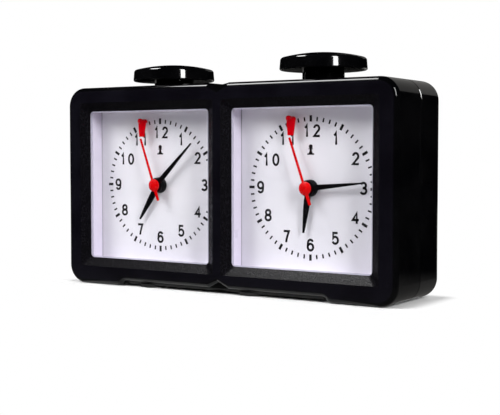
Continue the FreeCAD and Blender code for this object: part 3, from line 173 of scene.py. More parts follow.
def framed_abs_black(colours, frame_colours):
    """Front moulding of black ABS: spark-eroded frames look satin, the bevels round the windows are
    grained enough to glitter, and the sides stay polished. On the bevels, lighter grey specks at the grain's
    peaks are painted glints."""
    material, tree, mm = blank_material("framed_abs_black")
    across, depth, upward = from_dial(tree, mm)
    rim = CASE_LOW.y * 1000
    front = add(tree, "ShaderNodeMapRange", {0: depth, 1: rim + 0.02, 2: rim + 0.3, 3: 1.0, 4: 0.0},
                interpolation_type="SMOOTHSTEP")
    near_across = add(tree, "ShaderNodeMath", {0: across, 1: BEVEL_EDGE[0]}, operation="LESS_THAN")
    near_upward = add(tree, "ShaderNodeMath", {0: upward, 1: BEVEL_EDGE[1]}, operation="LESS_THAN")
    in_window = add(tree, "ShaderNodeMath", {0: near_across, 1: near_upward}, operation="MULTIPLY")
    near_rim = add(tree, "ShaderNodeMath", {0: depth, 1: rim + BEVEL_REACH}, operation="LESS_THAN")
    bevel = add(tree, "ShaderNodeMath", {0: in_window, 1: near_rim}, operation="MULTIPLY")
    off_bevel = add(tree, "ShaderNodeMath", {0: 1.0, 1: bevel}, operation="SUBTRACT")
    flat = add(tree, "ShaderNodeMath", {0: front, 1: off_bevel}, operation="MULTIPLY")

    drift = add(tree, "ShaderNodeTexNoise", {"Vector": mm, "Scale": 1.0 / 18.0, "Detail": 3.0})
    drift = add(tree, "ShaderNodeMapRange", {0: drift, 1: 0.35, 2: 0.65}, interpolation_type="SMOOTHSTEP")
    dark, light = colours.split()
    gloss = add(tree, "ShaderNodeMix", {0: drift, 6: linear(dark), 7: linear(light)}, out=2,
                data_type="RGBA")
    dark, light = frame_colours.split()
    satin = add(tree, "ShaderNodeMix", {0: drift, 6: linear(dark), 7: linear(light)}, out=2,
                data_type="RGBA")
    # grains of 0.25 mm are drawn at 0.45 mm, so that single ones show
    grain = add(tree, "ShaderNodeTexNoise", {"Vector": mm, "Scale": 1.0 / 0.45, "Detail": 4.0})
    # painted glints: the bevels' dark grain colour turns lighter grey on the grain's peaks
    painted_glint_share = add(tree, "ShaderNodeMapRange", {0: grain, 1: 0.48, 2: 0.75}, interpolation_type="SMOOTHSTEP")
    grain_and_painted_glints = add(tree, "ShaderNodeMix", {0: painted_glint_share, 6: linear("#08070A"), 7: linear("#1A191E")}, out=2,
                  data_type="RGBA")
    colour = add(tree, "ShaderNodeMix", {0: flat, 6: gloss, 7: satin}, out=2, data_type="RGBA")
    colour = add(tree, "ShaderNodeMix", {0: bevel, 6: colour, 7: grain_and_painted_glints}, out=2, data_type="RGBA")

    # roughness 0.07 on the gloss, 0.22 on the flats and 0.27 on the bevels
    satin_part = add(tree, "ShaderNodeMath", {0: flat, 1: 0.15}, operation="MULTIPLY")
    bevel_part = add(tree, "ShaderNodeMath", {0: bevel, 1: 0.2}, operation="MULTIPLY")
    rough = add(tree, "ShaderNodeMath", {0: satin_part, 1: bevel_part}, operation="ADD")
    rough = add(tree, "ShaderNodeMath", {0: rough, 1: 0.07}, operation="ADD")
    # the grain stands full on the bevels and a quarter as high on the flats, over a faint ripple
    flat_grain = add(tree, "ShaderNodeMath", {0: flat, 1: 0.25}, operation="MULTIPLY")
    grained = add(tree, "ShaderNodeMath", {0: bevel, 1: flat_grain}, operation="ADD")
    fine = add(tree, "ShaderNodeMath", {0: grain, 1: grained}, operation="MULTIPLY")
    ripple = add(tree, "ShaderNodeTexNoise", {"Vector": mm, "Scale": 1.0 / 6.0, "Detail": 3.0})
    ripple = add(tree, "ShaderNodeMath", {0: ripple, 1: 0.15}, operation="MULTIPLY")
    height = add(tree, "ShaderNodeMath", {0: fine, 1: ripple}, operation="ADD")
    bump = add(tree, "ShaderNodeBump", {"Height": height, "Strength": 1.0, "Distance": 0.00003})
    shader = add(tree, "ShaderNodeBsdfPrincipled", {
        "Base Color": colour, "Roughness": rough, "Specular IOR Level": 0.18, "Normal": bump})
    add(tree, "ShaderNodeOutputMaterial", {"Surface": shader})
    return material


def clear_acrylic():
    """Polished acrylic window: clear, with a sharp reflection and a pale line where its edge is cut."""
    material, tree, mm = blank_material("clear_acrylic")
    across, _, upward = from_dial(tree, mm)
    side_edge = add(tree, "ShaderNodeMath", {0: across, 1: CUT_EDGE[0]}, operation="GREATER_THAN")
    top_edge = add(tree, "ShaderNodeMath", {0: upward, 1: CUT_EDGE[1]}, operation="GREATER_THAN")
    edge = add(tree, "ShaderNodeMath", {0: side_edge, 1: top_edge}, operation="MAXIMUM")
    # Schlick's form of the Fresnel share, the same from both faces: 0.04 + 0.96 (1 - cosine) ** 5
    facing = add(tree, "ShaderNodeLayerWeight", {"Blend": 0.5}, out="Facing")
    steep = add(tree, "ShaderNodeMath", {0: facing, 1: 5.0}, operation="POWER")
    steep = add(tree, "ShaderNodeMath", {0: steep, 1: 0.96}, operation="MULTIPLY")
    bare = add(tree, "ShaderNodeMath", {0: steep, 1: 0.04}, operation="ADD")
    cut_part = add(tree, "ShaderNodeMath", {0: edge, 1: 0.55}, operation="MULTIPLY")
    share = add(tree, "ShaderNodeMath", {0: bare, 1: cut_part}, operation="MAXIMUM")
    tint = add(tree, "ShaderNodeMix", {0: edge, 6: linear("#FFFFFF"), 7: linear("#DAD6EA")}, out=2,
               data_type="RGBA")
    metal = add(tree, "ShaderNodeMath", {0: 1.0, 1: edge}, operation="SUBTRACT")
    # roughness 0.01 on the polish, 0.04 where fingers smeared it, and 0.3 more on the cut edge
    smear = add(tree, "ShaderNodeTexNoise", {"Vector": mm, "Scale": 1.0 / 20.0, "Detail": 3.0})
    smear = add(tree, "ShaderNodeMapRange", {0: smear, 1: 0.3, 2: 0.7, 3: 0.0, 4: 0.03},
                interpolation_type="SMOOTHSTEP")
    smear = add(tree, "ShaderNodeMath", {0: smear, 1: 0.01}, operation="ADD")
    cut_rough = add(tree, "ShaderNodeMath", {0: edge, 1: 0.3}, operation="MULTIPLY")
    rough = add(tree, "ShaderNodeMath", {0: cut_rough, 1: smear}, operation="ADD")
    shine = add(tree, "ShaderNodeBsdfPrincipled", {"Base Color": tint, "Metallic": metal,
                                                   "Roughness": rough})
    clear = add(tree, "ShaderNodeBsdfTransparent", {"Color": linear("#FCFCFD")})
    shader = add(tree, "ShaderNodeMixShader", {0: share, 1: clear, 2: shine})
    add(tree, "ShaderNodeOutputMaterial", {"Surface": shader})
    return material


def pale_polystyrene(colours):
    """White polystyrene tray round the dial: smooth, cool white, with a soft sheen."""
    return moulded_plastic("pale_polystyrene", *colours.split(), 0.32, 1.2, 0.004)


def printed_dial_board(colours):
    """Satin white dial board, lacquered after printing: even, with a trace of board texture, and a painted
    shadow, darkening towards grey, where it runs under the tray's walls."""
    material, tree, mm = blank_material("printed_dial_board")
    across, _, _ = from_dial(tree, mm)
    # painted shadow: the board turns half-way to dark grey in the gap under the tray's walls
    gap_shade = add(tree, "ShaderNodeMapRange", {0: across, 1: TRAY_GAP_SHADE[0], 2: TRAY_GAP_SHADE[1], 3: 0.0, 4: 0.5},
              interpolation_type="SMOOTHSTEP")
    drift = add(tree, "ShaderNodeTexNoise", {"Vector": mm, "Scale": 1.0 / 30.0, "Detail": 3.0})
    drift = add(tree, "ShaderNodeMapRange", {0: drift, 1: 0.35, 2: 0.65}, interpolation_type="SMOOTHSTEP")
    dark, light = colours.split()
    board = add(tree, "ShaderNodeMix", {0: drift, 6: linear(dark), 7: linear(light)}, out=2,
                data_type="RGBA")
    colour = add(tree, "ShaderNodeMix", {0: gap_shade, 6: board, 7: linear("#4A4752")}, out=2, data_type="RGBA")
    rough = add(tree, "ShaderNodeMapRange", {0: drift, 3: 0.36, 4: 0.48}, interpolation_type="SMOOTHSTEP")
    fibre = add(tree, "ShaderNodeTexNoise", {"Vector": mm, "Scale": 1.0 / 0.5, "Detail": 3.0})
    bump = add(tree, "ShaderNodeBump", {"Height": fibre, "Strength": 1.0, "Distance": 0.000004})
    shader = add(tree, "ShaderNodeBsdfPrincipled", {"Base Color": colour, "Roughness": rough,
                                                    "Normal": bump})
    add(tree, "ShaderNodeOutputMaterial", {"Surface": shader})
    return material


def printing_ink(colours):
    """Screen-printed black ink: dense, slightly uneven at its grain, with a low sheen."""
    return moulded_plastic("printing_ink", *colours.split(), 0.5, 0.3, 0.004, 3.0)


def hand_enamel(name, colours, roughness, specular):
    """Stamped metal under sprayed enamel: smooth colour with the faint orange peel of paint."""
    return moulded_plastic(name, *colours.split(), roughness, 0.8, 0.003, 6.0, specular)


def glossy_red_styrene(colours):
    """Glossy red styrene of the fall flags: saturated, wet-looking, with small sharp lights."""
    return moulded_plastic("glossy_red_styrene", *colours.split(), 0.12, 2.0, 0.003, 5.0, 0.35)


def worked_metal(name, dark, light, roughness, line_mm, stretch):
    """A worked metal: base colour and gloss vary in lines left by drawing, turning or winding."""
    material, tree, mm = blank_material(name)
    long = add(tree, "ShaderNodeMapping", {0: mm, 3: stretch})
    lines = add(tree, "ShaderNodeTexNoise", {"Vector": long, "Scale": 1.0 / line_mm, "Detail": 5.0})
    drift = add(tree, "ShaderNodeMapRange", {0: lines, 1: 0.3, 2: 0.7}, interpolation_type="SMOOTHSTEP")
    colour = add(tree, "ShaderNodeMix", {0: drift, 6: linear(dark), 7: linear(light)}, out=2,
                 data_type="RGBA")
    rough = add(tree, "ShaderNodeMapRange", {
        0: lines, 1: 0.3, 2: 0.7, 3: roughness * 0.7, 4: roughness * 1.3}, interpolation_type="SMOOTHSTEP")
    bump = add(tree, "ShaderNodeBump", {"Height": lines, "Strength": 1.0, "Distance": 0.000008})
    shader = add(tree, "ShaderNodeBsdfPrincipled", {"Base Color": colour, "Metallic": 1.0,
                                                    "Roughness": rough, "Normal": bump})
    add(tree, "ShaderNodeOutputMaterial", {"Surface": shader})
    return material


def enamelled_winding():
    """Fine enamelled copper wire wound in close turns, 0.25 mm apart: painted shade darkens the copper
    between the turns, and painted highlights brighten their ridges.
    """
    material, tree, mm = blank_material("enamelled_winding")
    turns = add(tree, "ShaderNodeTexWave", {"Vector": mm, "Scale": 1.25, "Distortion": 0.4, "Detail": 1.0},
                out=1, bands_direction="X")
    # painted shade and highlight: dark copper in the grooves between turns, bright copper on their ridges
    colour = add(tree, "ShaderNodeMix", {0: turns, 6: linear("#6E2D10"), 7: linear("#C8723A")}, out=2,
                 data_type="RGBA")
    rough = add(tree, "ShaderNodeMapRange", {0: turns, 3: 0.4, 4: 0.25}, interpolation_type="SMOOTHSTEP")
    bump = add(tree, "ShaderNodeBump", {"Height": turns, "Strength": 1.0, "Distance": 0.00005})
    shader = add(tree, "ShaderNodeBsdfPrincipled", {"Base Color": colour, "Metallic": 1.0,
                                                    "Roughness": rough, "Normal": bump})
    add(tree, "ShaderNodeOutputMaterial", {"Surface": shader})
    return material


def solder_mask_board():
    """Glass-fibre board under green solder mask: the weave shows faintly through the lacquer."""
    material, tree, mm = blank_material("solder_mask_board")
    weave = add(tree, "ShaderNodeTexChecker", {"Vector": mm, "Scale": 1.6}, out=1)
    tint = add(tree, "ShaderNodeMix", {0: weave, 6: linear("#0C4A22"), 7: linear("#11582A")}, out=2,
               data_type="RGBA")
    smear = add(tree, "ShaderNodeTexNoise", {"Vector": mm, "Scale": 1.0 / 6.0, "Detail": 3.0})
    smear = add(tree, "ShaderNodeMapRange", {0: smear, 1: 0.3, 2: 0.7, 3: 0.22, 4: 0.36},
                interpolation_type="SMOOTHSTEP")
    bump = add(tree, "ShaderNodeBump", {"Height": weave, "Strength": 0.5, "Distance": 0.00001})
    shader = add(tree, "ShaderNodeBsdfPrincipled", {"Base Color": tint, "Roughness": smear,
                                                    "Normal": bump})
    add(tree, "ShaderNodeOutputMaterial", {"Surface": shader})
    return material


def pad_rubber():
    """Moulded nitrile rubber foot: dull black with a coarse, slightly dusty skin."""
    return moulded_plastic("pad_rubber", "#0D0D0D", "#1C1B1A", 0.75, 0.6, 0.03, 4.0)


def cell_sleeve():
    """Shrunk sleeve of a dry cell: dark lacquered film with a copper-coloured band at the top."""
    material, tree, mm = blank_material("cell_sleeve")
    band_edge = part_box("battery")[1].z * 1000 - 17.0
    height = add(tree, "ShaderNodeSeparateXYZ", {0: mm}, out="Z")
    band = add(tree, "ShaderNodeMapRange", {0: height, 1: band_edge, 2: band_edge + 0.3},
               interpolation_type="SMOOTHSTEP")
    drift = add(tree, "ShaderNodeTexNoise", {"Vector": mm, "Scale": 1.0 / 9.0, "Detail": 3.0})
    dark = add(tree, "ShaderNodeMix", {0: drift, 6: linear("#15171B"), 7: linear("#20232A")}, out=2,
               data_type="RGBA")
    colour = add(tree, "ShaderNodeMix", {0: band, 6: dark, 7: linear("#B4713C")}, out=2, data_type="RGBA")
    metal = add(tree, "ShaderNodeMath", {0: band, 1: 0.8}, operation="MULTIPLY")
    rough = add(tree, "ShaderNodeMapRange", {0: drift, 1: 0.3, 2: 0.7, 3: 0.22, 4: 0.32},
                interpolation_type="SMOOTHSTEP")
    shader = add(tree, "ShaderNodeBsdfPrincipled", {"Base Color": colour, "Metallic": metal,
                                                    "Roughness": rough})
    add(tree, "ShaderNodeOutputMaterial", {"Surface": shader})
    return material


# ---- surfaces ----
def signed_volume(points, faces):
    """Sum over the faces of a sixth of the box product of each triangle of their fans."""
    a = points[faces[:, 0]]
    parts = [np.einsum("ij,ij->i", a, np.cross(points[faces[:, k]], points[faces[:, k + 1]]))
             for k in range(1, faces.shape[1] - 1)]
    return float(np.sum(parts)) / 6


def loft_faces(rings, sides, closed):
    """Quads between neighbouring rings of equal point count: face (i, k) joins points k and k + 1 of
    ring i to those of ring i + 1, and a closed loft joins its last ring to its first."""
    i = np.arange(rings if closed else rings - 1)[:, None]
    k = np.arange(sides)[None, :]
    nxt = (i + 1) % rings
    turn = (k + 1) % sides
    walls = np.stack([i * sides + k, i * sides + turn, nxt * sides + turn, nxt * sides + k], -1)
    return walls.reshape(-1, 4)


def strip_sections(line, half_width, back, front, closed=False):
    """A flat strip along a line in the dial's plane. Each point of the line gets a rectangle that
    reaches half_width to both sides of it, square to the line (mitred where the line turns), from
    the depth back to the depth front."""
    line = np.asarray(line, float)
    ahead = np.roll(line, -1, 0) - line
    behind = line - np.roll(line, 1, 0)
    if not closed:
        ahead[-1] = behind[-1]
        behind[0] = ahead[0]
    ahead /= np.linalg.norm(ahead, axis=1)[:, None]
    behind /= np.linalg.norm(behind, axis=1)[:, None]
    along = ahead + behind
    along /= np.linalg.norm(along, axis=1)[:, None]
    mitre = np.clip(np.einsum("ij,ij->i", along, ahead), 0.5, 1.0)
    side = np.stack([-along[:, 1], along[:, 0]], -1) * (np.asarray(half_width) / mitre)[:, None]
    left, right = line - side, line + side
    rings = np.empty((len(line), 4, 3))
    rings[:, 0, 0], rings[:, 0, 2] = left.T
    rings[:, 1, 0], rings[:, 1, 2] = right.T
    rings[:, 2, 0], rings[:, 2, 2] = right.T
    rings[:, 3, 0], rings[:, 3, 2] = left.T
    rings[:, :2, 1] = back
    rings[:, 2:, 1] = front
    return rings


def shut_loft(rings, closed=False):
    """Points and quads of one closed solid through the given rings, facing outwards."""
    count, sides = rings.shape[:2]
    points = rings.reshape(-1, 3)
    faces = loft_faces(count, sides, closed)
    if not closed:
        last = (count - 1) * sides
        ends = np.array([[3, 2, 1, 0], [last, last + 1, last + 2, last + 3]])
        faces = np.concatenate([faces, ends])
    if signed_volume(points, faces) < 0:
        faces = faces[:, ::-1]
    return points, faces


def make_piece(name, solids, material, body):
    """One mesh object from several closed solids, in metres, riding on a body."""
    counts = np.cumsum([0] + [len(points) for points, faces in solids])
    points = np.concatenate([points for points, faces in solids])
    faces = np.concatenate([faces + start for (_, faces), start in zip(solids, counts)])
    mesh = bpy.data.meshes.new(name)
    mesh.from_pydata(points.tolist(), [], faces.tolist())
    mesh.materials.append(material)
    piece = bpy.data.objects.new(name, mesh)
    bpy.context.scene.collection.objects.link(piece)
    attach(piece, body)
    return piece


# ---- numerals ----
def arc(x, z, rx, rz, start, end, steps=18):
    """Points of an ellipse: centre plus radii times cosine and sine of an angle in degrees."""
    t = np.radians(np.linspace(start, end, steps))
    return np.stack([x + rx * np.cos(t), z + rz * np.sin(t)], -1)


def polyline(*points):
    """The corners of a line, as an array."""
    return np.array(points, float)


def numeral_lines():
    """Each figure's centre lines in a box of width and height one about the origin, as (line, closed)."""
    six = np.concatenate([arc(0.0, 0.20, 0.46, 0.30, 25, 180), arc(0.0, -0.19, 0.5, 0.31, 180, 537, 36)])
    return {
        "0": [(arc(0, 0, 0.5, 0.5, 0, 350, 36), True)],
        "1": [(polyline((-0.30, 0.27), (-0.06, 0.40), (0.06, 0.55), (0.06, -0.57)), False)],
        "2": [(np.concatenate([arc(0.0, 0.21, 0.45, 0.29, 172, -28), polyline(
            (-0.46, -0.5), (0.56, -0.5))]), False)],
        "3": [(np.concatenate([arc(0.0, 0.26, 0.43, 0.24, 160, -80), polyline((-0.14, 0.02))]), False),
              (np.concatenate([polyline((-0.14, 0.02)), arc(0.0, -0.24, 0.5, 0.26, 84, -160)]), False)],
        "4": [(polyline((0.22, -0.57), (0.22, 0.42), (-0.48, -0.22), (0.58, -0.22)), False)],
        "5": [(np.concatenate([polyline((0.44, 0.5), (-0.34, 0.5), (-0.40, -0.01)), arc(
            0.0, -0.18, 0.5, 0.32, 128, -158, 22)]), False)],
        "6": [(six, False)],
        "7": [(np.concatenate([polyline((-0.52, 0.5), (0.46, 0.5)), polyline(
            (0.22, 0.10), (0.04, -0.24), (-0.06, -0.57))]), False)],
        "8": [(arc(0, 0.26, 0.42, 0.24, 0, 345, 24), True), (arc(0, -0.24, 0.5, 0.26, 0, 345, 24), True)],
        "9": [(-six, False)],
    }


# how far each hour's figures stand off their even places on an oval, across and up, in millimetres
FIGURE_SHIFT = {1: (-0.4, 0.0), 2: (-0.2, 0.45), 3: (0.1, 0.35), 4: (-0.15, 0.3), 5: (-0.5, 0.15),
                6: (0.0, 0.0), 7: (0.5, 0.0), 8: (0.3, 0.0), 9: (-0.2, 0.0), 10: (1.7, -0.1),
                11: (0.95, 0.0), 12: (0.4, 0.1)}


class ClockFinish(PropertyGroup):
    """Sizes and colours of the clock's printed marks and mouldings. A pair of colours is the darker and
    the lighter one between which the finish drifts."""
    case_colours: StringProperty(name="Case colours", description="Two sRGB hex colours, polished black",
                                 default="#030304 #070708")
    frame_colours: StringProperty(name="Frame colours", description="Two sRGB hex colours, satin black",
                                  default="#08070C #0D0C12")
    tray_colours: StringProperty(name="Tray colours", description="Two sRGB hex colours, trays round the "
                                 "dials", default="#E6E0EE #EDE7F4")
    board_colours: StringProperty(name="Dial colours", description="Two sRGB hex colours, dial boards",
                                  default="#EBEAEE #F2F1F4")
    ink_colours: StringProperty(name="Ink colours", description="Two sRGB hex colours, marks and figures",
                                default="#040405 #0B0B0D")
    hand_colours: StringProperty(name="Hand colours", description="Two sRGB hex colours, hour and minute "
                                 "hands", default="#040405 #08080A")
    second_colours: StringProperty(name="Second hand colours", description="Two sRGB hex colours, second "
                                   "hands", default="#D20004 #DC0408")
    flag_colours: StringProperty(name="Flag colours", description="Two sRGB hex colours, fall flags",
                                 default="#C40210 #D00410")
    ring_radius: FloatProperty(name="Ring radius", description="Outer ends of the minute marks",
                               default=0.0287, unit="LENGTH")
    hour_mark: FloatVectorProperty(name="Hour mark", description="Length and width of a five-minute mark",
                                   size=2, default=(0.0025, 0.0011), subtype="TRANSLATION")
    minute_mark: FloatVectorProperty(name="Minute mark", description="Length and width of a minute mark",
                                     size=2, default=(0.0017, 0.00066), subtype="TRANSLATION")
    mark_inset: FloatProperty(name="Minute mark inset", description="Minute marks inside the ring radius",
                              default=0.0006, unit="LENGTH")
    figure_size: FloatVectorProperty(name="Figure size", description="Width and height of the centre lines",
                                     size=2, default=(0.00245, 0.0042), subtype="TRANSLATION")
    figure_stroke: FloatProperty(name="Figure stroke", description="Width of the lines of the hour figures",
                                 default=0.00092, unit="LENGTH")
    figure_reach: FloatVectorProperty(name="Figure reach", description="Figures from the dial's centre, "
                                      "across and up", size=2, default=(0.0231, 0.0225),
                                      subtype="TRANSLATION")
    figure_pitch: FloatProperty(name="Figure pitch", description="Between the two figures of 10, 11 and 12",
                                default=0.0045, unit="LENGTH")
    emblem_height: FloatProperty(name="Emblem height", description="Pawn printed under the twelve",
                                 default=0.0041, unit="LENGTH")
    emblem_rise: FloatProperty(name="Emblem rise", description="Pawn's middle above the dial's centre",
                               default=0.0152, unit="LENGTH")
    ink_depth: FloatProperty(name="Ink depth", description="How far the ink stands off the dial",
                             default=0.00004, unit="LENGTH")


class StudioSet(PropertyGroup):
    """Lamps, floor and camera of the studio."""
    camera_place: FloatVectorProperty(name="Camera place", description="Where the camera stands", size=3,
                                      default=(0.2483, -0.3804, 0.0577), subtype="TRANSLATION")
    camera_turn: FloatProperty(name="Camera turn", description="Turn about the vertical",
                               default=math.radians(32.784), subtype="ANGLE")
    camera_drop: FloatProperty(name="Camera drop", description="How far the camera looks down",
                               default=math.radians(2.9385), subtype="ANGLE")
    lens_length: FloatProperty(name="Lens length", description="Focal length in mm on a 36 mm sensor",
                               default=78.04)
    floor_colour: StringProperty(name="Floor colour", description="sRGB hex colour of the paper floor",
                                 default="#EDEDED")
    edge_power: FloatProperty(name="Edge power", description="Box that draws the lights on polished edges",
                              default=6.9, unit="POWER")
    key_power: FloatProperty(name="Key power", description="Main soft lamp, high in front at the left",
                             default=7.8, unit="POWER")
    strip_power: FloatProperty(name="Strip power", description="Upright strip box at the right",
                               default=19.0, unit="POWER")
    front_power: FloatProperty(name="Front power", description="Weak soft lamp in front of the dials",
                               default=1.4, unit="POWER")
    rear_power: FloatProperty(name="Rear power", description="Soft lamp behind, for the back of the case",
                              default=4.0, unit="POWER")
    room_light: FloatProperty(name="Room light", description="Strength of the plain white room", default=0.05)


def at_dial(side, solids):
    """Solids drawn about the dial's centre, moved to that dial."""
    centre = DIAL_CENTRE[side]
    return [(points + np.array([centre.x, 0.0, centre.z]), faces) for points, faces in solids]


def mark_depths(finish):
    """The ink's back, 0.01 mm inside the dial's face, and its front."""
    return DIAL_FACE + 0.00001, DIAL_FACE - finish.ink_depth


# ---- operators ----
class CLOCK_OT_case(Operator):
    """Give the case, door, buttons and knobs their polished and grained black mouldings"""
    bl_idname = "clock.case"
    bl_label = "Case and buttons"

    def execute(self, context):
        finish = context.scene.clock_finish
        dress(["front_casing"], framed_abs_black(finish.case_colours, finish.frame_colours))
        dress(["rear_casing", "battery_door"] + both("button", "setting_knob"),
              gloss_abs_black(finish.case_colours))
        dress(["foot_pads"], pad_rubber())
        return {"FINISHED"}


class CLOCK_OT_windows(Operator):
    """Give the windows, trays and dial boards their finishes"""
    bl_idname = "clock.windows"
    bl_label = "Windows and dials"

    def execute(self, context):
        dress(both("lens"), clear_acrylic())
        finish = context.scene.clock_finish
        dress(both("dial_surround"), pale_polystyrene(finish.tray_colours))
        dress(both("dial_plate"), printed_dial_board(finish.board_colours))
        return {"FINISHED"}


class CLOCK_OT_hands(Operator):
    """Paint the hands and flags"""
    bl_idname = "clock.hands"
    bl_label = "Hands and flags"

    def execute(self, context):
        finish = context.scene.clock_finish
        dress(both("hour_hand", "minute_hand") + ["dial_nuts"],
              hand_enamel("black_enamel", finish.hand_colours, 0.4, 0.2))
        dress(both("second_hand"), hand_enamel("red_enamel", finish.second_colours, 0.25, 0.25))
        dress(both("flag") + ["flag_pins"], glossy_red_styrene(finish.flag_colours))
        return {"FINISHED"}


class CLOCK_OT_works(Operator):
    """Give the movements, rocker, fastenings, springs and cell their metals and plastics"""
    bl_idname = "clock.works"
    bl_label = "Movements and fittings"

    def execute(self, context):
        # mineral-filled nylon shells look dull and dark, acetal wheels waxy and pale, and the glass fibre
        # in the rocker's nylon greys it
        shell = moulded_plastic("filled_nylon_grey", "#1B1B1E", "#26262A", 0.5, 0.7, 0.01)
        acetal = moulded_plastic("acetal_white", "#D9D8D0", "#E6E5DE", 0.38, 0.6, 0.004)
        fibre_nylon = moulded_plastic("glass_filled_nylon", "#3A3A3D", "#49494D", 0.45, 0.8, 0.01)
        # drawn steel has its lines upright, turned brass has them round its axis
        steel = worked_metal("bright_steel", "#A9AAAD", "#C6C7CA", 0.28, 0.4, (1.0, 1.0, 0.15))
        brass = worked_metal("turned_brass", "#B98A3E", "#DDB465", 0.25, 0.4, (1.0, 0.15, 1.0))
        dress(both("movement_front", "movement_cover"), shell)
        dress(both("middle_plate", "intermediate_wheel", "second_wheel", "third_wheel", "centre_wheel",
                   "minute_wheel", "hour_wheel"), acetal)
        dress(["rocker"], fibre_nylon)
        dress(both("stator", "rotor") + ["casing_screws", "inner_screws", "rocker_pin", "detent_spring",
                                         "battery_contacts"], steel)
        dress(both("cannon_pinion") + ["switch_contacts"], brass)
        dress(both("coil"), enamelled_winding())
        dress(both("circuit_board"), solder_mask_board())
        dress(["battery"], cell_sleeve())
        return {"FINISHED"}


class CLOCK_OT_minute_marks(Operator):
    """Print the ring of sixty minute marks on both dials"""
    bl_idname = "clock.minute_marks"
    bl_label = "Minute marks"

    def execute(self, context):
        finish = context.scene.clock_finish
        back, front = mark_depths(finish)
        ink = printing_ink(finish.ink_colours)
        solids = []
        for minute in range(60):
            long = minute % 5 == 0
            length, width = finish.hour_mark if long else finish.minute_mark
            outer = finish.ring_radius - (0.0 if long else finish.mark_inset)
            turn = math.radians(6 * minute)
            out = np.array([math.sin(turn), math.cos(turn)])
            line = np.array([out * (outer - length), out * outer])
            solids.append(shut_loft(strip_sections(line, [width / 2] * 2, back, front)))
        for side in SIDES:
            make_piece(side + "_minute_marks", at_dial(side, solids), ink, "root")
        return {"FINISHED"}


class CLOCK_OT_figures(Operator):
    """Print the hour figures 1 to 12 on both dials"""
    bl_idname = "clock.figures"
    bl_label = "Hour figures"

    def execute(self, context):
        finish = context.scene.clock_finish
        back, front = mark_depths(finish)
        lines = numeral_lines()
        size = np.array(finish.figure_size)
        solids = []
        for hour in range(1, 13):
            turn = math.radians(30 * hour)
            place = np.array(finish.figure_reach) * np.array([math.sin(turn), math.cos(turn)])
            place += 0.001 * np.array(FIGURE_SHIFT[hour])
            digits = str(hour)
            for number, digit in enumerate(digits):
                step = (number - (len(digits) - 1) / 2) * finish.figure_pitch
                for line, closed in lines[digit]:
                    path = line * size + place + np.array([step, 0.0])
                    half = np.full(len(path), finish.figure_stroke / 2)
                    solids.append(shut_loft(strip_sections(path, half, back, front, closed), closed))
        ink = bpy.data.materials["printing_ink"]
        for side in SIDES:
            make_piece(side + "_hour_figures", at_dial(side, solids), ink, "root")
        return {"FINISHED"}


class CLOCK_OT_emblem(Operator):
    """Print a plain pawn under the twelve of both dials"""
    bl_idname = "clock.emblem"
    bl_label = "Pawn emblem"

    def execute(self, context):
        finish = context.scene.clock_finish
        back, front = mark_depths(finish)
        u = np.linspace(0.0, 1.0, 61)
        # half width over height: a foot, a waisted body that narrows with the square of the height,
        # a thin collar, and a round head of radius 0.21 about 0.79
        foot = np.where(u < 0.14, 0.38, 0.0)
        body = np.where(u < 0.58, 0.10 + 0.22 * (1 - np.clip(u / 0.58, 0, 1)) ** 2, 0.0)
        collar = np.where((u > 0.53) & (u < 0.61), 0.26, 0.0)
        head = np.sqrt(np.clip(0.21 ** 2 - (u - 0.79) ** 2, 0, None))
        half = np.maximum.reduce([foot, body, collar, head, np.full(61, 0.02)])
        line = np.stack([np.zeros(61), finish.emblem_rise + (u - 0.5) * finish.emblem_height], -1)
        solids = [shut_loft(strip_sections(line, half * finish.emblem_height, back, front))]
        ink = bpy.data.materials["printing_ink"]
        for side in SIDES:
            make_piece(side + "_pawn_emblem", at_dial(side, solids), ink, "root")
        return {"FINISHED"}


# ---- studio ----
def white_paper_floor(colour):
    """Matt white paper: it shows plain white from 8 mm outside the case, and keeps the shadow nearer in.
    It throws less light back on the dials than it shows, as if it lay further below them."""
    material, tree, mm = blank_material("white_paper_floor")
    away = add(tree, "ShaderNodeMapRange", {0: outside_case(tree, mm), 1: 0.0, 2: 8.0},
               interpolation_type="SMOOTHSTEP")
    share = add(tree, "ShaderNodeMath", {0: seen_or_mirrored(tree), 1: away}, operation="MULTIPLY")
    fibre = add(tree, "ShaderNodeTexNoise", {"Vector": mm, "Scale": 1.0 / 8.0, "Detail": 3.0})
    pale = add(tree, "ShaderNodeMix", {0: fibre, 6: linear(colour), 7: linear("#F2F2F2")}, out=2,
               data_type="RGBA")
    diffuse_ray = add(tree, "ShaderNodeLightPath", out="Is Diffuse Ray")
    shade = add(tree, "ShaderNodeMix", {0: diffuse_ray, 6: pale, 7: linear("#A4A4A4")}, out=2,
                data_type="RGBA")
    paper = add(tree, "ShaderNodeBsdfPrincipled", {"Base Color": shade, "Roughness": 0.9,
                                                   "Specular IOR Level": 0.1})
    white = add(tree, "ShaderNodeEmission", {"Color": (1, 1, 1, 1), "Strength": 1.0})
    mixed = add(tree, "ShaderNodeMixShader", {0: share, 1: paper, 2: white})
    add(tree, "ShaderNodeOutputMaterial", {"Surface": mixed})
    return material


def black_velvet_screen():
    """Black velvet: next to no light comes back, so polished black beside it stays black."""
    material, tree, mm = blank_material("black_velvet_screen")
    pile = add(tree, "ShaderNodeTexNoise", {"Vector": mm, "Scale": 1.0 / 3.0, "Detail": 3.0})
    colour = add(tree, "ShaderNodeMix", {0: pile, 6: linear("#020202"), 7: linear("#050505")}, out=2,
                 data_type="RGBA")
    cloth = add(tree, "ShaderNodeBsdfPrincipled", {"Base Color": colour, "Roughness": 1.0,
                                                   "Specular IOR Level": 0.0})
    add(tree, "ShaderNodeOutputMaterial", {"Surface": cloth})
    return material


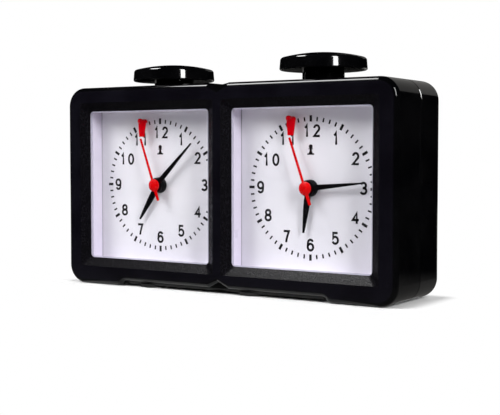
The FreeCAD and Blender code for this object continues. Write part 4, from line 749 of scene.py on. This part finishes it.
def light_paper(tree, mm, strength):
    """Fills a material's tree with warm white paper, lit to a strength that is a value or a socket."""
    fibre = add(tree, "ShaderNodeTexNoise", {"Vector": mm, "Scale": 1.0 / 200.0, "Detail": 3.0})
    colour = add(tree, "ShaderNodeMix", {0: fibre, 6: linear("#FFFFFF"), 7: linear("#F4EFE6")}, out=2,
                 data_type="RGBA")
    glow = add(tree, "ShaderNodeEmission", {"Color": colour, "Strength": strength})
    add(tree, "ShaderNodeOutputMaterial", {"Surface": glow})


def grey_card():
    """Grey card high behind: warm white paper, dimly lit."""
    material, tree, mm = blank_material("grey_card")
    light_paper(tree, mm, 0.3)
    return material


def grey_paper_behind():
    """What polished black mirrors low down: a faint glow at the foot of the case, and grey paper behind
    it. The right side mirrors the line from its rear corner along (0.404, 0.915), so the paper starts
    15 mm to the left of that line, behind the case's back. It ends far behind, where the undersides of
    the buttons mirror it."""
    material, tree, mm = blank_material("grey_paper_behind")
    x, y, _ = add(tree, "ShaderNodeSeparateXYZ", {0: mm}, out=None)
    corner = CASE_HIGH * 1000
    beside = add(tree, "ShaderNodeMath", {0: x, 1: corner.x}, operation="SUBTRACT")
    beside = add(tree, "ShaderNodeMath", {0: beside, 1: -0.915}, operation="MULTIPLY")
    beyond = add(tree, "ShaderNodeMath", {0: y, 1: corner.y}, operation="SUBTRACT")
    beyond = add(tree, "ShaderNodeMath", {0: beyond, 1: 0.404}, operation="MULTIPLY")
    aside = add(tree, "ShaderNodeMath", {0: beside, 1: beyond}, operation="ADD")
    aside = add(tree, "ShaderNodeMapRange", {0: aside, 1: 15.0, 2: 80.0, 3: 0.0, 4: 0.7},
                interpolation_type="SMOOTHSTEP")
    start = add(tree, "ShaderNodeMapRange", {0: y, 1: 20.0, 2: 70.0}, interpolation_type="SMOOTHSTEP")
    end = add(tree, "ShaderNodeMapRange", {0: y, 1: 450.0, 2: 900.0, 3: 1.0, 4: 0.0},
              interpolation_type="SMOOTHSTEP")
    behind = add(tree, "ShaderNodeMath", {0: start, 1: end}, operation="MULTIPLY")
    paper = add(tree, "ShaderNodeMath", {0: aside, 1: behind}, operation="MULTIPLY")
    foot = add(tree, "ShaderNodeMapRange", {0: outside_case(tree, mm), 1: 0.0, 2: 100.0, 3: 0.15, 4: 0.0},
               interpolation_type="SMOOTHSTEP")
    light_paper(tree, mm, add(tree, "ShaderNodeMath", {0: paper, 1: foot}, operation="MAXIMUM"))
    return material


def white_room(light):
    """World that shows white and lights the clock weakly."""
    world = bpy.data.worlds.new("white_room")
    world.use_nodes = True
    tree = world.node_tree
    tree.nodes.clear()
    room = add(tree, "ShaderNodeBackground", {"Color": (1, 1, 1, 1), "Strength": light})
    white = add(tree, "ShaderNodeBackground", {"Color": (1, 1, 1, 1), "Strength": 1.0})
    mixed = add(tree, "ShaderNodeMixShader", {0: seen_or_mirrored(tree), 1: room, 2: white})
    add(tree, "ShaderNodeOutputWorld", {"Surface": mixed})
    # lamps are sampled through the dark screens, so the world leaves gloss to the screens too
    world.cycles_visibility.glossy = False
    return world


def sheet_mesh(name, grid, material):
    """An open sheet of quads through a grid of points."""
    rows, columns = grid.shape[:2]
    i, k = np.arange(rows - 1)[:, None], np.arange(columns - 1)[None, :]
    first = i * columns + k
    faces = np.stack([first, first + columns, first + columns + 1, first + 1], -1).reshape(-1, 4)
    mesh = bpy.data.meshes.new(name)
    mesh.from_pydata(grid.reshape(-1, 3).tolist(), [], faces.tolist())
    mesh.materials.append(material)
    sheet = bpy.data.objects.new(name, mesh)
    bpy.context.scene.collection.objects.link(sheet)
    return sheet


def dome_grid(radius):
    """Half a sphere: radius times the cosines of turn and rise, its sine and cosine, and sine of rise."""
    turn = np.radians(np.linspace(0, 360, 49))[:, None]
    rise = np.radians(np.linspace(0, 90, 13))[None, :]
    return np.stack([radius * np.cos(turn) * np.cos(rise), radius * np.sin(turn) * np.cos(rise),
                     radius * np.sin(rise) + 0 * turn], -1)


def apron_grid(half_width, half_depth, outer):
    """A ring on the floor from a rounded oblong out to a circle. One over the oblong's radius in
    direction a is the eighth root of the sum of the eighth powers of cos a over its half width and
    sin a over its half depth. Between the two the radius grows with the cube of the second parameter."""
    turn = np.radians(np.linspace(0, 360, 49))[:, None]
    near = ((np.cos(turn) / half_width) ** 8 + (np.sin(turn) / half_depth) ** 8) ** (-1 / 8)
    reach = near + (outer - near) * np.linspace(0, 1, 5)[None, :] ** 3
    return np.stack([np.cos(turn) * reach, np.sin(turn) * reach, 0.0005 + 0 * reach], -1)


def softbox(name, place, target, width, height, power):
    """A rectangular lamp at place that faces target."""
    lamp = bpy.data.lights.new(name, "AREA")
    lamp.shape = "RECTANGLE"
    lamp.size, lamp.size_y = width, height
    lamp.energy = power
    box = bpy.data.objects.new(name, lamp)
    box.location = place
    box.rotation_euler = (Vector(target) - Vector(place)).to_track_quat("-Z", "Y").to_euler()
    bpy.context.scene.collection.objects.link(box)
    return box


class CLOCK_OT_studio(Operator):
    """Set up the paper floor, the soft lamps, the dark screens and the camera"""
    bl_idname = "clock.studio"
    bl_label = "Studio"

    def execute(self, context):
        studio = context.scene.clock_studio
        scene = context.scene
        # half the floor's side, with the floor just under the pads
        side, under = 4.0, -0.0001
        floor = np.array([[(-side, -side, under), (-side, side, under)],
                          [(side, -side, under), (side, side, under)]])
        sheet_mesh("floor", floor, white_paper_floor(studio.floor_colour))
        scene.world = white_room(studio.room_light)

        # the edge box hangs level, and only draws lights on polished edges
        softbox("edge_box", (-0.385, -0.21, 0.74), (-0.385, -0.209, 0.0), 0.27, 0.32,
                studio.edge_power).visible_diffuse = False
        softbox("strip_box", (1.15, -0.62, 0.66), (0.0, 0.0, 0.09), 0.30, 0.72, studio.strip_power)
        for name, place, power in (("key_box", (-0.42, -0.52, 0.62), studio.key_power),
                                   ("front_fill", (-0.25, -0.75, 0.55), studio.front_power),
                                   ("rear_fill", (0.20, 0.90, 0.80), studio.rear_power)):
            softbox(name, place, (0.0, 0.0, 0.04), 0.5, 0.5, power).visible_glossy = False

        # only gloss sees the screens: a dome of velvet, a floor ring that starts under the ends of the
        # case and runs on below the dome, and a grey card high behind for the rounded top edges
        card = np.array([[(-0.5, 1.2, 0.35), (0.5, 1.2, 0.35)], [(-0.5, 1.1, 0.9), (0.5, 1.1, 0.9)]])
        apron = apron_grid(CASE_HIGH.x - 0.004, CASE_HIGH.y + 0.002, 1.75)
        for name, grid, cover in (("screen_dome", dome_grid(1.7), black_velvet_screen()),
                                  ("screen_apron", apron, grey_paper_behind()),
                                  ("rear_card", card, grey_card())):
            screen = sheet_mesh(name, grid, cover)
            screen.visible_camera = False
            screen.visible_diffuse = False
            screen.visible_shadow = False
            screen.visible_transmission = False

        camera = bpy.data.cameras.new("camera")
        camera.sensor_width = 36.0
        camera.lens = studio.lens_length
        stand = bpy.data.objects.new("camera", camera)
        stand.location = studio.camera_place
        stand.rotation_euler = (math.pi / 2 - studio.camera_drop, 0.0, studio.camera_turn)
        scene.collection.objects.link(stand)
        scene.camera = stand
        scene.view_settings.view_transform = "Standard"
        return {"FINISHED"}


class CLOCK_PT_finishes(Panel):
    """Lists the clock's finishing steps with their settings"""
    bl_idname = "CLOCK_PT_finishes"
    bl_label = "Chess clock"
    bl_space_type = "VIEW_3D"
    bl_region_type = "UI"
    bl_category = "Chess clock"

    def draw(self, context):
        for step in STEPS:
            self.layout.operator(step.bl_idname)
        for group in (context.scene.clock_finish, context.scene.clock_studio):
            column = self.layout.column(align=True)
            for name in group.__annotations__:
                column.prop(group, name)


STEPS = (CLOCK_OT_case, CLOCK_OT_windows, CLOCK_OT_hands, CLOCK_OT_works, CLOCK_OT_minute_marks,
         CLOCK_OT_figures, CLOCK_OT_emblem, CLOCK_OT_studio)
CLASSES = (ClockFinish, StudioSet) + STEPS + (CLOCK_PT_finishes,)


def register():
    for cls in CLASSES:
        bpy.utils.register_class(cls)
    bpy.types.Scene.clock_finish = PointerProperty(type=ClockFinish)
    bpy.types.Scene.clock_studio = PointerProperty(type=StudioSet)


def unregister():
    del bpy.types.Scene.clock_studio
    del bpy.types.Scene.clock_finish
    for cls in reversed(CLASSES):
        bpy.utils.unregister_class(cls)


def main():
    register()
    bpy.ops.clock.case()
    bpy.ops.clock.windows()
    bpy.ops.clock.hands()
    bpy.ops.clock.works()
    bpy.ops.clock.minute_marks()
    bpy.ops.clock.figures()
    bpy.ops.clock.emblem()
    bpy.ops.clock.studio()


if __name__ == "__main__":
    main()
